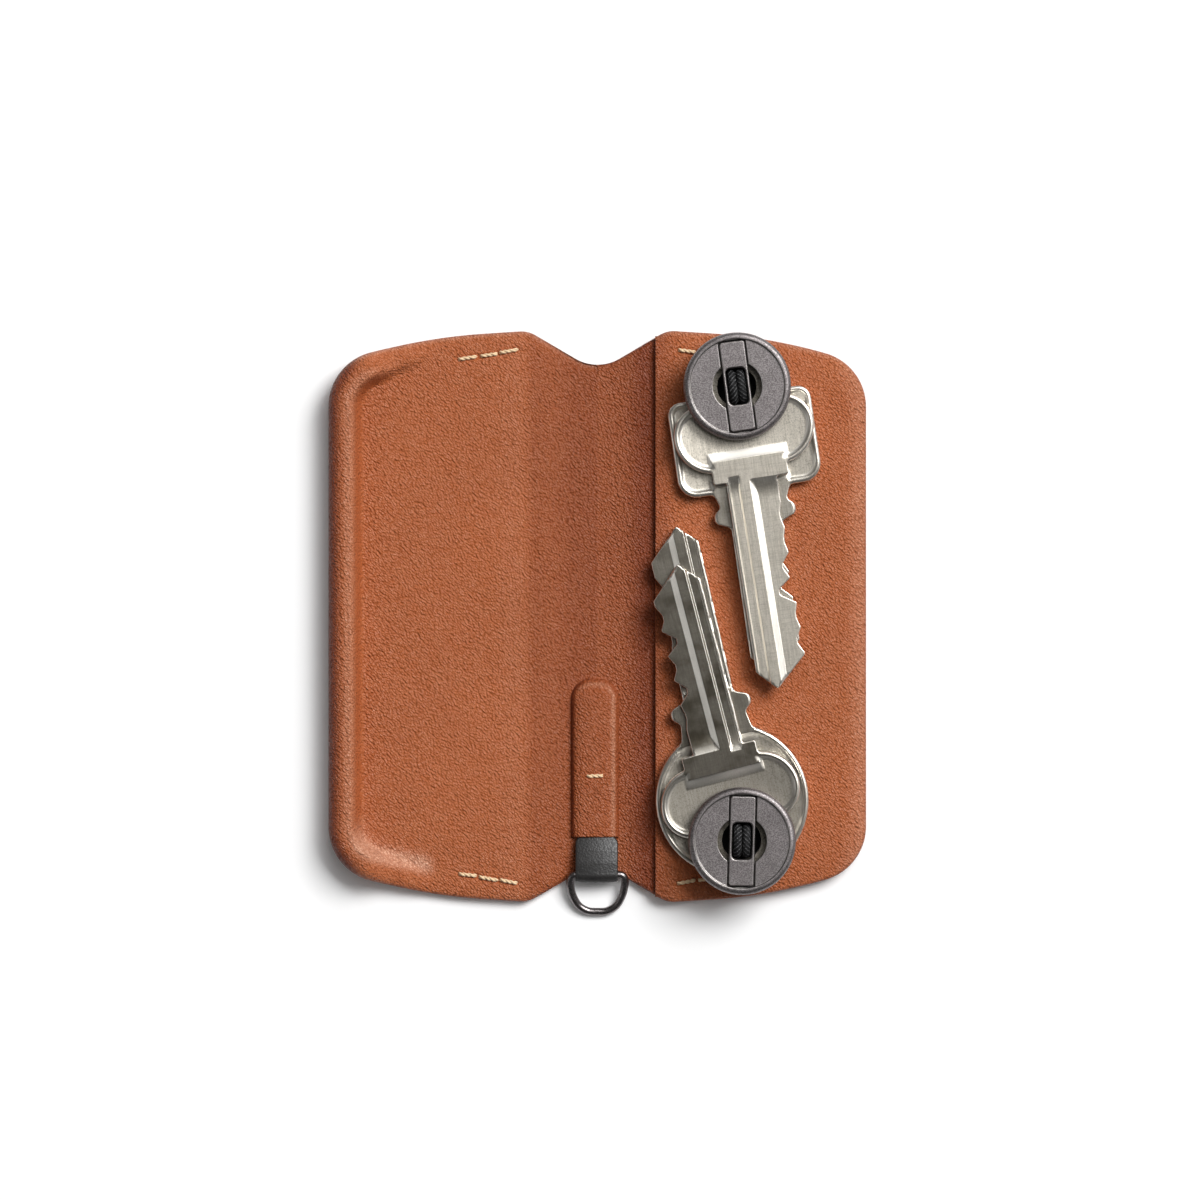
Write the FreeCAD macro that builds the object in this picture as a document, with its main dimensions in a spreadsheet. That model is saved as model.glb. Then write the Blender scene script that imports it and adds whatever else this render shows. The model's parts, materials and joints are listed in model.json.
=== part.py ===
import FreeCAD, Part
import Sketcher
import os
import re

# A folding leather key case, lying open and flat with its inside up.
# +X runs from the front flap to the back panel, +Y along the case and +Z up.
# The origin is the middle of the back panel's flat underside. All sizes are in millimetres and degrees.

SIZES = {
    # Outline of the open case, to sharp corners
    "panel_length": 95.3,
    "waist_drop": 6.8,
    "edge_drop": 5.65,
    "panel_width": 36.75,
    "spine_width": 16.0,
    "shoulder_inset": 3.6,
    "end_bow_radius": 160.0,
    "corner_radius": 9.3,
    "shoulder_radius": 4.5,
    "waist_radius": 7.3,
    "fold_gap": 0.15,
    # Layers of the panels and the spine
    "outer_leather": 1.2,
    "spine_leather": 0.65,
    "back_board": 1.0,
    "back_cover": 1.3,
    "front_board": 0.4,
    "front_cover": 0.7,
    "lining_setback": 1.6,
    "front_setback": 0.6,
    "board_margin": 2.5,
    "board_play": 0.05,
    # Raised rim of the front flap
    "rim_width": 5.0,
    "rim_arm_width": 4.5,
    "rim_height": 5.4,
    "rim_arm_reach": 11.25,
    "rim_slope": 5.0,
    "rim_inner_radius": 3.5,
    "rim_round": 1.9,
    # Closing magnets and the steel plates that they meet
    "magnet_width": 2.2,
    "magnet_length": 10.0,
    "magnet_height": 3.4,
    "magnet_play": 0.05,
    "closure_spacing": 48.0,
    "keeper_width": 3.4,
    "keeper_length": 12.0,
    "keeper_inset": 5.2,
    # Stitches that show on the lining
    "stitch_length": 2.8,
    "stitch_width": 0.6,
    "stitch_height": 0.2,
    "stitch_pitch": 3.4,
    "stitch_start": 5.4,
    "stitch_inset": 2.9,
    # Tab on the spine, its strap and its ring
    "sleeve_width": 7.5,
    "sleeve_length": 26.2,
    "sleeve_height": 1.8,
    "sleeve_inset": 4.05,
    "sleeve_end_radius": 3.2,
    "sleeve_round": 0.9,
    "tab_stitch_place": 10.3,
    "strap_width": 7.1,
    "strap_thickness": 0.4,
    "strap_play": 0.1,
    "tongue_width": 5.4,
    "tongue_length": 18.0,
    "ring_tuck": 0.898,
    "ring_width": 10.4,
    "ring_reach": 7.2,
    "ring_wire": 1.3,
    "ring_side": 1.7,
    "ring_foot_width": 5.6,
    "ring_head_radius": 1.0,
    "ring_side_radius": 2.6,
    "ring_foot_radius": 1.8,
    "ring_inner_radius": 0.3,
    "ring_round": 0.55,
    "ring_play": 0.08,
    "ring_floor_gap": 0.05,
    # Key posts, from the back fold and from the ends of the panel
    "upper_post_x": 15.1,
    "upper_post_inset": 9.55,
    "upper_post_angle": 7.5,
    "lower_post_x": 15.9,
    "lower_post_inset": 10.55,
    "lower_post_angle": -1.5,
    "cap_diameter": 17.8,
    "cap_height": 2.8,
    "cap_bore": 8.2,
    "cap_lip": 1.0,
    "cap_lip_slope": 0.12,
    "cap_recess": 0.35,
    "cap_foot_round": 0.5,
    "cap_crown_round": 0.8,
    "toggle_length": 14.9,
    "toggle_width": 4.25,
    "toggle_height": 1.95,
    "toggle_side_play": 0.22,
    "toggle_seat_play": 0.05,
    "toggle_corner_radius": 0.5,
    "toggle_chamfer": 0.18,
    "window_length": 6.1,
    "window_width": 3.3,
    "window_radius": 0.8,
    "pin_diameter": 1.2,
    "pin_rise": 0.35,
    "pin_play": 0.02,
    "cord_diameter": 1.45,
    "cord_spacing": 1.55,
    "cord_play": 0.05,
    "cord_hole": 5.9,
    "anchor_diameter": 8.0,
    "anchor_play": 0.1,
    # Keys: thickness, stack and blade
    "key_thickness": 1.8,
    "key_rest_gap": 0.3,
    "key_gap": 0.15,
    "key_hole": 6.6,
    "blade_width": 8.5,
    "tip_offset": 1.1,
    "tip_slant": 3.2,
    "tip_long_slant": 5.0,
    "bite_start": 6.5,
    "bite_pitch": 4.2,
    "bite_flat": 0.9,
    "bite_step": 0.42,
    "groove_width": 1.7,
    "groove_floor": 0.8,
    "groove_depth": 0.5,
    "groove_offset": 2.75,
    "groove_middle": 0.9,
    "groove_start": 0.8,
    "bow_rim": 1.0,
    "bow_recess": 0.25,
    "crown_reach": 6.4,
    # Eared bow, of the two front keys
    "ear_half_width": 11.7,
    "ear_reach": 7.3,
    "ear_crown_half": 8.0,
    "ear_crown_reach": 2.4,
    "ear_neck_half": 6.3,
    "ear_neck_reach": 13.6,
    "ear_neck_bar": 1.9,
    "ear_shoulder": 15.6,
    # Square bow, of the upper rear key
    "square_half_width": 12.0,
    "square_top": 1.2,
    "square_top_radius": 2.2,
    "square_reach": 17.2,
    "square_radius": 3.2,
    "square_crown_half": 7.2,
    "square_neck_half": 6.4,
    # Round bow, of the lower rear key
    "round_radius": 12.7,
    "round_reach": 6.8,
    "round_neck_half": 6.0,
    # Lobed shoulders of the two rear keys
    "lobe_waist_half": 5.5,
    "lobe_half": 6.8,
    "lobe_length": 1.5,
    "lobe_fall": 1.0,
    "square_shoulder": 23.0,
    "round_shoulder": 24.4,
    # Room from each key's tip to the other post, and its angle about its own post
    "upper_front_tip_room": 24.7,
    "upper_front_angle": 9.0,
    "upper_rear_tip_room": 27.2,
    "upper_rear_angle": 8.4,
    "lower_front_tip_room": 28.2,
    "lower_front_angle": 194.5,
    "lower_rear_tip_room": 22.0,
    "lower_rear_angle": 193.0,
}

# Depths of each key's cuts, from the shoulder to the tip, in steps; a short blade takes fewer
BITES = {
    "upper_front_key": (1, 1, 3, 6, 1, 2),
    "upper_rear_key": (2, 4, 1, 3, 2, 4),
    "lower_front_key": (1, 4, 2, 5, 2, 3),
    "lower_rear_key": (3, 1, 4, 2, 3, 1),
}

# How many steps the ridge between two cuts rises above the shallower one
RIDGE_STEPS = 2

# How far a cut runs past the face that it opens
CUT_MARGIN = "1"

doc = FreeCAD.newDocument("key_case")
sheet = doc.addObject("Spreadsheet::Sheet", "dims")
for row, (size_name, size_value) in enumerate(SIZES.items(), start=1):
    sheet.set(f"A{row}", size_name)
    sheet.set(f"B{row}", str(size_value))
    sheet.setAlias(f"B{row}", size_name)
doc.recompute()


# Sizes that several pieces share, worked out from the sheet
def bind(text):
    """Returns an expression with each size read from the sheet."""
    return re.sub(r"[a-z]\w*", lambda word: "dims." + word[0] if word[0] in SIZES else word[0], text)


def number(text):
    """Returns the value that an expression has now."""
    return float(sheet.evalExpression(bind(text)))


BACK_FOLD = "(-panel_width / 2)"
SPINE_MIDDLE = "(-panel_width / 2 - spine_width / 2)"
FRONT_FOLD = "(-panel_width / 2 - spine_width)"
WAIST_HALF = "(panel_length / 2 - waist_drop)"
EDGE_HALF = "(panel_length / 2 - edge_drop)"
END_RISE = "(waist_drop / (spine_width / 2 + shoulder_inset))"
END_FALL = "(edge_drop / (panel_width - shoulder_inset))"
TRAY_EDGE = "(panel_width - rim_width)"
TRAY_HALF = f"({EDGE_HALF} + rim_width * {END_FALL} - rim_arm_width)"
RIM_END = "(panel_width - rim_arm_reach)"
BACK_TOP = "(outer_leather + back_board + back_cover)"
FRONT_TOP = "(outer_leather + front_board + front_cover)"
SPINE_TOP = "(spine_leather * 2)"
STRAP_LOOP = "(ring_wire / 2 + ring_play + strap_thickness)"
RING_HEIGHT = f"({SPINE_TOP} + strap_play + {STRAP_LOOP})"
RING_PLACE = f"({WAIST_HALF} + {END_RISE} * ring_width / 2 - ring_tuck)"
SLEEVE_END = f"({WAIST_HALF} - sleeve_inset)"
CAP_BASE = f"({BACK_TOP} + key_rest_gap + (key_thickness + key_gap) * 2)"
CAP_FACE = "(cap_height - cap_recess)"
TOGGLE_BASE = f"({CAP_BASE} + {CAP_FACE} - toggle_height)"
ANCHOR_TOP = "(outer_leather + back_board - anchor_play)"
CORD_BEND = "(pin_diameter / 2 + cord_play + cord_diameter / 2)"
UPPER_POST = "(panel_length / 2 - upper_post_inset)"
LOWER_POST = "(panel_length / 2 - lower_post_inset)"
POST_SPACING = f"({UPPER_POST} + {LOWER_POST})"

BACK = {"x": BACK_FOLD}
FRONT = {"x": FRONT_FOLD, "turn": "180"}
SPINE = {"x": SPINE_MIDDLE}


# Bodies, sketches and features
def start_body(label, x="0", y="0", z="0", turn="0", axis=(0, 0, 1)):
    """Starts a piece whose own zero lies at x, y, z, turned about an axis."""
    body = doc.addObject("PartDesign::Body", label)
    body.Label = label
    body.Placement = FreeCAD.Placement(FreeCAD.Vector(), FreeCAD.Rotation(FreeCAD.Vector(*axis), 1))
    body.setExpression("Placement.Base.x", bind(x))
    body.setExpression("Placement.Base.y", bind(y))
    body.setExpression("Placement.Base.z", bind(z))
    body.setExpression("Placement.Rotation.Angle", bind(turn))
    return body


def start_sketch(body, name, plane="XY_Plane", offset="0"):
    """Starts a sketch on one of the body's own planes, moved along its normal."""
    sketch = body.newObject("Sketcher::SketchObject", name)
    support = [feature for feature in body.Origin.OriginFeatures if feature.Role == plane]
    sketch.AttachmentSupport = [(support[0], "")]
    sketch.MapMode = "FlatFace"
    sketch.setExpression("AttachmentOffset.Base.z", bind(offset))
    return sketch


def bound_constraint(sketch, kind, geometry, point, text):
    """Adds a constraint whose value stays bound to the sheet."""
    if point:
        added = sketch.addConstraint(Sketcher.Constraint(kind, geometry, point, number(text)))
    else:
        added = sketch.addConstraint(Sketcher.Constraint(kind, geometry, number(text)))
    sketch.setExpression(f"Constraints[{added}]", bind(text))


def arc_between(start, end, radius):
    """Returns the short arc that bulges to the right on its way from start to end."""
    middle = (start + end) * 0.5
    chord = end - start
    outward = FreeCAD.Vector(chord.y, -chord.x, 0).normalize()
    bulge = radius - (radius * radius - chord.Length ** 2 / 4) ** 0.5
    return Part.Arc(start, middle + outward * bulge, end)


def draw_loop(sketch, corners):
    """Draws a closed outline; a corner's third entry is the radius of the arc that leads to it."""
    points = [FreeCAD.Vector(number(corner[0]), number(corner[1]), 0) for corner in corners]
    first = sketch.GeometryCount
    for index, corner in enumerate(corners):
        start, end = points[index - 1], points[index]
        is_arc = len(corner) == 3
        side = arc_between(start, end, number(corner[2])) if is_arc else Part.LineSegment(start, end)
        sketch.addGeometry(side, False)
    for index, corner in enumerate(corners):
        geometry = first + index
        following = first + (index + 1) % len(corners)
        sketch.addConstraint(Sketcher.Constraint("Coincident", geometry, 2, following, 1))
        bound_constraint(sketch, "DistanceX", geometry, 2, corner[0])
        bound_constraint(sketch, "DistanceY", geometry, 2, corner[1])
        if len(corner) == 3:
            bound_constraint(sketch, "Radius", geometry, 0, corner[2])


def draw_circle(sketch, x, y, diameter):
    """Draws a circle about a point."""
    centre = FreeCAD.Vector(number(x), number(y), 0)
    circle = Part.Circle(centre, FreeCAD.Vector(0, 0, 1), number(diameter) / 2)
    geometry = sketch.addGeometry(circle, False)
    bound_constraint(sketch, "DistanceX", geometry, 3, x)
    bound_constraint(sketch, "DistanceY", geometry, 3, y)
    bound_constraint(sketch, "Diameter", geometry, 0, diameter)


def rectangle(left, bottom, right, top):
    """Returns the corners of an upright rectangle."""
    return [(left, bottom), (right, bottom), (right, top), (left, top)]


def centred_rectangle(width, length, x="0", y="0"):
    """Returns the corners of a rectangle about a point."""
    return rectangle(f"{x} - {width} / 2", f"{y} - {length} / 2", f"{x} + {width} / 2", f"{y} + {length} / 2")


def add_feature(body, kind, name, sketch, length, reverse=False, both=False):
    """Adds a feature that a sketch drives, of a given length or, with none, through everything."""
    feature = body.newObject(kind, name)
    feature.Profile = sketch
    if length:
        feature.setExpression("Length", bind(length))
    else:
        feature.Type = "ThroughAll"
    feature.Reversed = reverse
    if both:
        feature.SideType = "Symmetric"
    doc.recompute()
    return feature


def pad(body, sketch, length, both=False):
    """Raises a sketch into a solid."""
    return add_feature(body, "PartDesign::Pad", "pad", sketch, length, both=both)


def pocket(body, sketch, length=None, reverse=False, both=False):
    """Cuts a sketch out of the solid, and makes sure that it cut something."""
    before = body.Shape.Volume
    feature = add_feature(body, "PartDesign::Pocket", "pocket", sketch, length, reverse, both)
    if feature.Shape.Volume > before - 1e-6:
        raise RuntimeError(f"{body.Label}: {feature.Name} cuts nothing")
    return feature


def dress_edges(body, kind, size_property, size, wanted):
    """Rounds or bevels the tip's edges that the test picks out."""
    base = body.Tip
    names = [f"Edge{index}" for index, edge in enumerate(base.Shape.Edges, start=1) if wanted(edge)]
    if not names:
        raise RuntimeError(f"{body.Label}: no edge found to dress")
    feature = body.newObject(kind, "edges")
    feature.Base = (base, names)
    feature.setExpression(size_property, bind(size))
    doc.recompute()
    return feature


def is_near(first, second):
    """Says whether two lengths are the same."""
    return abs(first - second) < 1e-4


def round_upright(body, radius, spots):
    """Rounds the upright edges that stand at the given spots of the plan."""
    places = [(number(x), number(y)) for x, y in spots]

    def wanted(edge):
        low, high = edge.Vertexes[0].Point, edge.Vertexes[-1].Point
        upright = is_near(low.x, high.x) and is_near(low.y, high.y) and not is_near(low.z, high.z)
        return upright and any(is_near(low.x, x) and is_near(low.y, y) for x, y in places)

    return dress_edges(body, "PartDesign::Fillet", "Radius", radius, wanted)


def lies_at(edge, height):
    """Says whether an edge lies flat at a height."""
    return is_near(edge.BoundBox.ZMin, height) and is_near(edge.BoundBox.ZMax, height)


def both_ends(x, y):
    """Returns a spot and its mirror image across the case's middle."""
    return [(x, y), (x, f"-({y})")]


# Leather panels, boards and linings
def panel_corners(left):
    """Returns a panel's outline, measured from its fold, from the given left edge outward."""
    side = f"({WAIST_HALF} + {END_RISE} * (spine_width / 2 + {left}))"
    return [
        (left, f"-{side}"),
        ("shoulder_inset", "-panel_length / 2"),
        ("panel_width", f"-{EDGE_HALF}", "end_bow_radius"),
        ("panel_width", EDGE_HALF),
        ("shoulder_inset", "panel_length / 2", "end_bow_radius"),
        (left, side),
    ]


def panel_plate(label, place, height, thickness, left):
    """Makes a plate with the panel's outline and rounded corners."""
    body = start_body(label, z=height, **place)
    sketch = start_sketch(body, "outline")
    draw_loop(sketch, panel_corners(left))
    pad(body, sketch, thickness)
    round_upright(body, "corner_radius", both_ends("panel_width", EDGE_HALF))
    round_upright(body, "shoulder_radius", both_ends("shoulder_inset", "panel_length / 2"))
    return body


def back_board_corners(play):
    """Returns the outline of the board in the back panel, grown by a play."""
    left = f"lining_setback + board_margin - {play}"
    right = f"panel_width - board_margin + {play}"
    left_half = f"({WAIST_HALF} + {END_RISE} * (spine_width / 2 + {left}) - board_margin + {play})"
    middle = "(shoulder_inset + board_margin)"
    middle_half = f"(panel_length / 2 - board_margin + {play})"
    right_half = f"({EDGE_HALF} - board_margin + {play})"
    return [
        (left, f"-{left_half}"),
        (middle, f"-{middle_half}"),
        (right, f"-{right_half}"),
        (right, right_half),
        (middle, middle_half),
        (left, left_half),
    ]


def front_board_corners(play):
    """Returns the outline of the board in the front flap, grown by a play."""
    half = f"({TRAY_HALF} - board_margin + {play})"
    return rectangle(f"board_margin - {play}", f"-{half}", f"{TRAY_EDGE} - board_margin + {play}", half)


POSTS = {
    "upper": {"x": "upper_post_x", "y": UPPER_POST, "turn": "upper_post_angle"},
    "lower": {"x": "lower_post_x", "y": f"-{LOWER_POST}", "turn": "lower_post_angle"},
}
CLOSURE_SIDES = {"upper": "closure_spacing / 2", "lower": "-closure_spacing / 2"}


def make_back_panel():
    """Makes the back panel's outer leather, its board with its plates, and its lining."""
    panel_plate("back_outer_leather", BACK, "0", "outer_leather", "fold_gap")

    board = start_body("back_stiffener", z="outer_leather", **BACK)
    sketch = start_sketch(board, "outline")
    draw_loop(sketch, back_board_corners("0"))
    pad(board, sketch, "back_board")
    sketch = start_sketch(board, "openings")
    for post in POSTS.values():
        draw_circle(sketch, post["x"], post["y"], "anchor_diameter + anchor_play * 2")
    plate_middle = "(panel_width - keeper_inset)"
    for side in CLOSURE_SIDES.values():
        width, length = "(keeper_width + board_play * 2)", "(keeper_length + board_play * 2)"
        draw_loop(sketch, centred_rectangle(width, length, plate_middle, side))
    pocket(board, sketch, reverse=True)

    for end, side in CLOSURE_SIDES.items():
        plate = start_body(f"{end}_keeper_plate", z="outer_leather", **BACK)
        sketch = start_sketch(plate, "outline")
        draw_loop(sketch, centred_rectangle("keeper_width", "keeper_length", plate_middle, side))
        pad(plate, sketch, "back_board")

    lining = panel_plate("back_lining", BACK, "outer_leather", "back_board + back_cover", "lining_setback")
    sketch = start_sketch(lining, "board_bed")
    draw_loop(sketch, back_board_corners("board_play"))
    pocket(lining, sketch, "back_board", reverse=True)
    sketch = start_sketch(lining, "cord_holes")
    for post in POSTS.values():
        draw_circle(sketch, post["x"], post["y"], "cord_hole")
    pocket(lining, sketch, reverse=True)


def rim_footprint_corners():
    """Returns the plan of the flap's rim, run out past the panel's edges."""
    arm_half = f"({TRAY_HALF} + ({TRAY_EDGE} - {RIM_END}) * {END_FALL})"
    outside = f"(panel_length / 2 + {CUT_MARGIN})"
    right = f"panel_width + {CUT_MARGIN}"
    return [
        (RIM_END, f"-{outside}"),
        (right, f"-{outside}"),
        (right, outside),
        (RIM_END, outside),
        (RIM_END, arm_half),
        (TRAY_EDGE, TRAY_HALF),
        (TRAY_EDGE, f"-{TRAY_HALF}"),
        (RIM_END, f"-{arm_half}"),
    ]


def make_front_flap():
    """Makes the front flap's outer leather, its board and its lining inside the rim."""
    panel_plate("front_outer_leather", FRONT, "0", "outer_leather", "fold_gap")

    board = start_body("front_stiffener", z="outer_leather", **FRONT)
    sketch = start_sketch(board, "outline")
    draw_loop(sketch, front_board_corners("0"))
    pad(board, sketch, "front_board")

    lining = panel_plate("front_lining", FRONT, "outer_leather", "front_board + front_cover", "front_setback")
    sketch = start_sketch(lining, "rim_footprint")
    draw_loop(sketch, rim_footprint_corners())
    pocket(lining, sketch, reverse=True)
    round_upright(lining, "rim_inner_radius", both_ends(TRAY_EDGE, TRAY_HALF))
    sketch = start_sketch(lining, "board_bed")
    draw_loop(sketch, front_board_corners("board_play"))
    pocket(lining, sketch, "front_board", reverse=True)


def make_front_rim():
    """Makes the rim round the flap's free edge, whose two arms slope down to the lining."""
    rim = start_body("front_rim", z="outer_leather", **FRONT)
    sketch = start_sketch(rim, "outline")
    outline = panel_corners("shoulder_inset")[1:5]
    outline[0] = outline[0][:2]
    draw_loop(sketch, outline)
    pad(rim, sketch, "rim_height")
    round_upright(rim, "corner_radius", both_ends("panel_width", EDGE_HALF))

    sketch = start_sketch(rim, "tray")
    near_half = f"({TRAY_HALF} + {TRAY_EDGE} * {END_FALL})"
    tray = [("0", f"-{near_half}"), (TRAY_EDGE, f"-{TRAY_HALF}"), (TRAY_EDGE, TRAY_HALF), ("0", near_half)]
    draw_loop(sketch, tray)
    pocket(rim, sketch, reverse=True)
    round_upright(rim, "rim_inner_radius", both_ends(TRAY_EDGE, TRAY_HALF))

    top, arm_foot = number("rim_height"), number("shoulder_inset")
    dress_edges(
        rim, "PartDesign::Fillet", "Radius", "rim_round",
        lambda edge: lies_at(edge, top) and edge.BoundBox.XMax > arm_foot + 1e-3,
    )

    sketch = start_sketch(rim, "arm_slope", "XZ_Plane")
    slope_top = f"{RIM_END} + rim_slope"
    over = f"rim_height + {CUT_MARGIN}"
    draw_loop(sketch, [
        ("0", f"-{CUT_MARGIN}"),
        (RIM_END, f"-{CUT_MARGIN}"),
        (RIM_END, "front_board + front_cover"),
        (slope_top, "rim_height"),
        (slope_top, over),
        ("0", over),
    ])
    pocket(rim, sketch, both=True)

    middle = "(panel_width - rim_width / 2)"
    sketch = start_sketch(rim, "magnet_beds")
    for side in CLOSURE_SIDES.values():
        width, length = "(magnet_width + magnet_play * 2)", "(magnet_length + magnet_play * 2)"
        draw_loop(sketch, centred_rectangle(width, length, middle, side))
    pocket(rim, sketch, "magnet_height + magnet_play", reverse=True)

    for end, side in CLOSURE_SIDES.items():
        magnet = start_body(f"{end}_magnet", z="outer_leather", **FRONT)
        sketch = start_sketch(magnet, "outline")
        draw_loop(sketch, centred_rectangle("magnet_width", "magnet_length", middle, side))
        pad(magnet, sketch, "magnet_height")


def make_stitches():
    """Makes the rows of stitches at both ends of each panel."""
    rows = {"back": (BACK, BACK_TOP, 2), "front": (FRONT, FRONT_TOP, 3)}
    for panel, (place, height, count) in rows.items():
        for end, sign in (("upper", 1), ("lower", -1)):
            local_sign = sign if panel == "back" else -sign
            body = start_body(f"{panel}_{end}_stitches", z=height, **place)
            sketch = start_sketch(body, "row")
            for index in range(count):
                near = f"(stitch_start + stitch_pitch * {index})"
                far = f"({near} + stitch_length)"
                line = f"(panel_length / 2 - stitch_inset + shoulder_inset * {END_FALL})"
                near_line = f"{local_sign} * ({line} - {near} * {END_FALL})"
                far_line = f"{local_sign} * ({line} - {far} * {END_FALL})"
                draw_loop(sketch, [
                    (near, f"{near_line} - stitch_width / 2"),
                    (far, f"{far_line} - stitch_width / 2"),
                    (far, f"{far_line} + stitch_width / 2"),
                    (near, f"{near_line} + stitch_width / 2"),
                ])
            pad(body, sketch, "stitch_height")


# Spine with its tab, strap and ring
def make_spine():
    """Makes the two thin layers of the spine, drawn in at both ends."""
    edge = "(spine_width / 2 - fold_gap)"
    side = f"({WAIST_HALF} + {END_RISE} * {edge})"
    for label, height in (("spine_outer_leather", "0"), ("spine_lining", "spine_leather")):
        body = start_body(label, z=height, **SPINE)
        sketch = start_sketch(body, "outline")
        draw_loop(sketch, [
            (f"-{edge}", f"-{side}"),
            ("0", f"-{WAIST_HALF}"),
            (edge, f"-{side}"),
            (edge, side),
            ("0", WAIST_HALF),
            (f"-{edge}", side),
        ])
        pad(body, sketch, "spine_leather")
        round_upright(body, "waist_radius", both_ends("0", WAIST_HALF))


def make_tab():
    """Makes the leather sleeve on the spine, the strap that it holds and its stitch."""
    sleeve = start_body("tab_sleeve", x=SPINE_MIDDLE, y=f"-{SLEEVE_END}", z=SPINE_TOP)
    sketch = start_sketch(sleeve, "outline")
    draw_loop(sketch, rectangle("-sleeve_width / 2", "0", "sleeve_width / 2", "sleeve_length"))
    pad(sleeve, sketch, "sleeve_height")
    corners = [("-sleeve_width / 2", "sleeve_length"), ("sleeve_width / 2", "sleeve_length")]
    round_upright(sleeve, "sleeve_end_radius", corners)
    top = number("sleeve_height")
    dress_edges(
        sleeve, "PartDesign::Fillet", "Radius", "sleeve_round",
        lambda edge: lies_at(edge, top) and edge.BoundBox.YMax > 1e-3,
    )
    sketch = start_sketch(sleeve, "tunnel")
    half = "(tongue_width / 2 + strap_play)"
    draw_loop(sketch, rectangle(f"-{half}", f"-{CUT_MARGIN}", half, "tongue_length + strap_play"))
    pocket(sleeve, sketch, "strap_thickness * 2 + strap_play * 2", reverse=True)

    strap = start_body("tab_strap", x=SPINE_MIDDLE, y=f"-{RING_PLACE}", z=RING_HEIGHT)
    sketch = start_sketch(strap, "loop", "YZ_Plane")
    mouth = f"({RING_PLACE} - {SLEEVE_END} - strap_play)"
    tongue_top = f"(strap_thickness * 2 - {STRAP_LOOP})"
    draw_loop(sketch, [
        (mouth, f"-{STRAP_LOOP}"),
        (mouth, tongue_top),
        ("0", STRAP_LOOP),
        (f"-{STRAP_LOOP}", "0", STRAP_LOOP),
        ("0", f"-{STRAP_LOOP}", STRAP_LOOP),
    ])
    draw_circle(sketch, "0", "0", "ring_wire + ring_play * 2")
    pad(strap, sketch, "strap_width", both=True)
    sketch = start_sketch(strap, "tongue", "YZ_Plane")
    end = f"{mouth} + strap_play + tongue_length"
    draw_loop(sketch, rectangle(f"{mouth} - strap_play", f"-{STRAP_LOOP}", end, tongue_top))
    pad(strap, sketch, "tongue_width", both=True)

    stitch_place = f"tab_stitch_place - {SLEEVE_END}"
    stitch = start_body("tab_stitch", SPINE_MIDDLE, stitch_place, f"{SPINE_TOP} + sleeve_height")
    sketch = start_sketch(stitch, "outline")
    draw_loop(sketch, centred_rectangle("stitch_length", "stitch_width"))
    pad(stitch, sketch, "stitch_height")


def make_ring():
    """Makes the ring that hangs in the strap's fold and droops until it lies on the table."""
    droop = f"asin(({RING_HEIGHT} - ring_wire / 2 - ring_floor_gap) / (ring_reach - ring_wire / 2))"
    ring = start_body("d_ring", SPINE_MIDDLE, f"-{RING_PLACE}", RING_HEIGHT, droop, axis=(1, 0, 0))
    head, side, foot = "ring_wire / 2", "-ring_side", "-ring_reach"
    half, foot_half = "ring_width / 2", "ring_foot_width / 2"
    inner_half, inner_foot_half = "(ring_width / 2 - ring_wire)", "(ring_foot_width / 2 - ring_wire / 2)"
    inner_head, inner_foot = "-ring_wire / 2", "-ring_reach + ring_wire"
    sketch = start_sketch(ring, "outline")
    draw_loop(sketch, [
        (f"-{half}", head),
        (f"-{half}", side),
        (f"-{foot_half}", foot),
        (foot_half, foot),
        (half, side),
        (half, head),
    ])
    draw_loop(sketch, [
        (f"-{inner_half}", inner_head),
        (f"-{inner_half}", side),
        (f"-{inner_foot_half}", inner_foot),
        (inner_foot_half, inner_foot),
        (inner_half, side),
        (inner_half, inner_head),
    ])
    pad(ring, sketch, "ring_wire", both=True)
    round_upright(ring, "ring_head_radius", [(half, head), (f"-{half}", head)])
    outer_sides = [(half, side), (f"-{half}", side)]
    round_upright(ring, "ring_side_radius", outer_sides)
    round_upright(ring, "ring_foot_radius", [(foot_half, foot), (f"-{foot_half}", foot)])
    inner_corners = [(inner_half, inner_head), (inner_half, side), (inner_foot_half, inner_foot)]
    round_upright(ring, "ring_inner_radius", inner_corners + [(f"-{x}", y) for x, y in inner_corners])
    reach = number("ring_wire") / 2
    dress_edges(
        ring, "PartDesign::Fillet", "Radius", "ring_round",
        lambda edge: lies_at(edge, reach) or lies_at(edge, -reach),
    )


# Key posts
def make_cap(label, place):
    """Makes a post's round cap, with a lip, a bore for the cord and a slot for the toggle."""
    body = start_body(label, z=CAP_BASE, **place)
    radius, bore = "cap_diameter / 2", "cap_bore / 2"
    lip = f"{radius} - cap_lip"
    sketch = start_sketch(body, "profile", "XZ_Plane")
    draw_loop(sketch, [
        (bore, "0"),
        (f"{radius} - cap_foot_round", "0"),
        (radius, "cap_foot_round", "cap_foot_round"),
        (radius, "cap_height - cap_crown_round"),
        (f"{radius} - cap_crown_round", "cap_height", "cap_crown_round"),
        (lip, "cap_height"),
        (f"{lip} - cap_lip_slope", CAP_FACE),
        (bore, CAP_FACE),
    ])
    turning = body.newObject("PartDesign::Revolution", "turning")
    turning.Profile = sketch
    turning.ReferenceAxis = (sketch, ["V_Axis"])
    turning.Angle = 360
    doc.recompute()
    sketch = start_sketch(body, "slot", offset=CAP_FACE)
    width, length = "(toggle_width + toggle_side_play * 2)", "(toggle_length + toggle_side_play * 2)"
    draw_loop(sketch, centred_rectangle(width, length))
    pocket(body, sketch, "toggle_height + toggle_seat_play")


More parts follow.
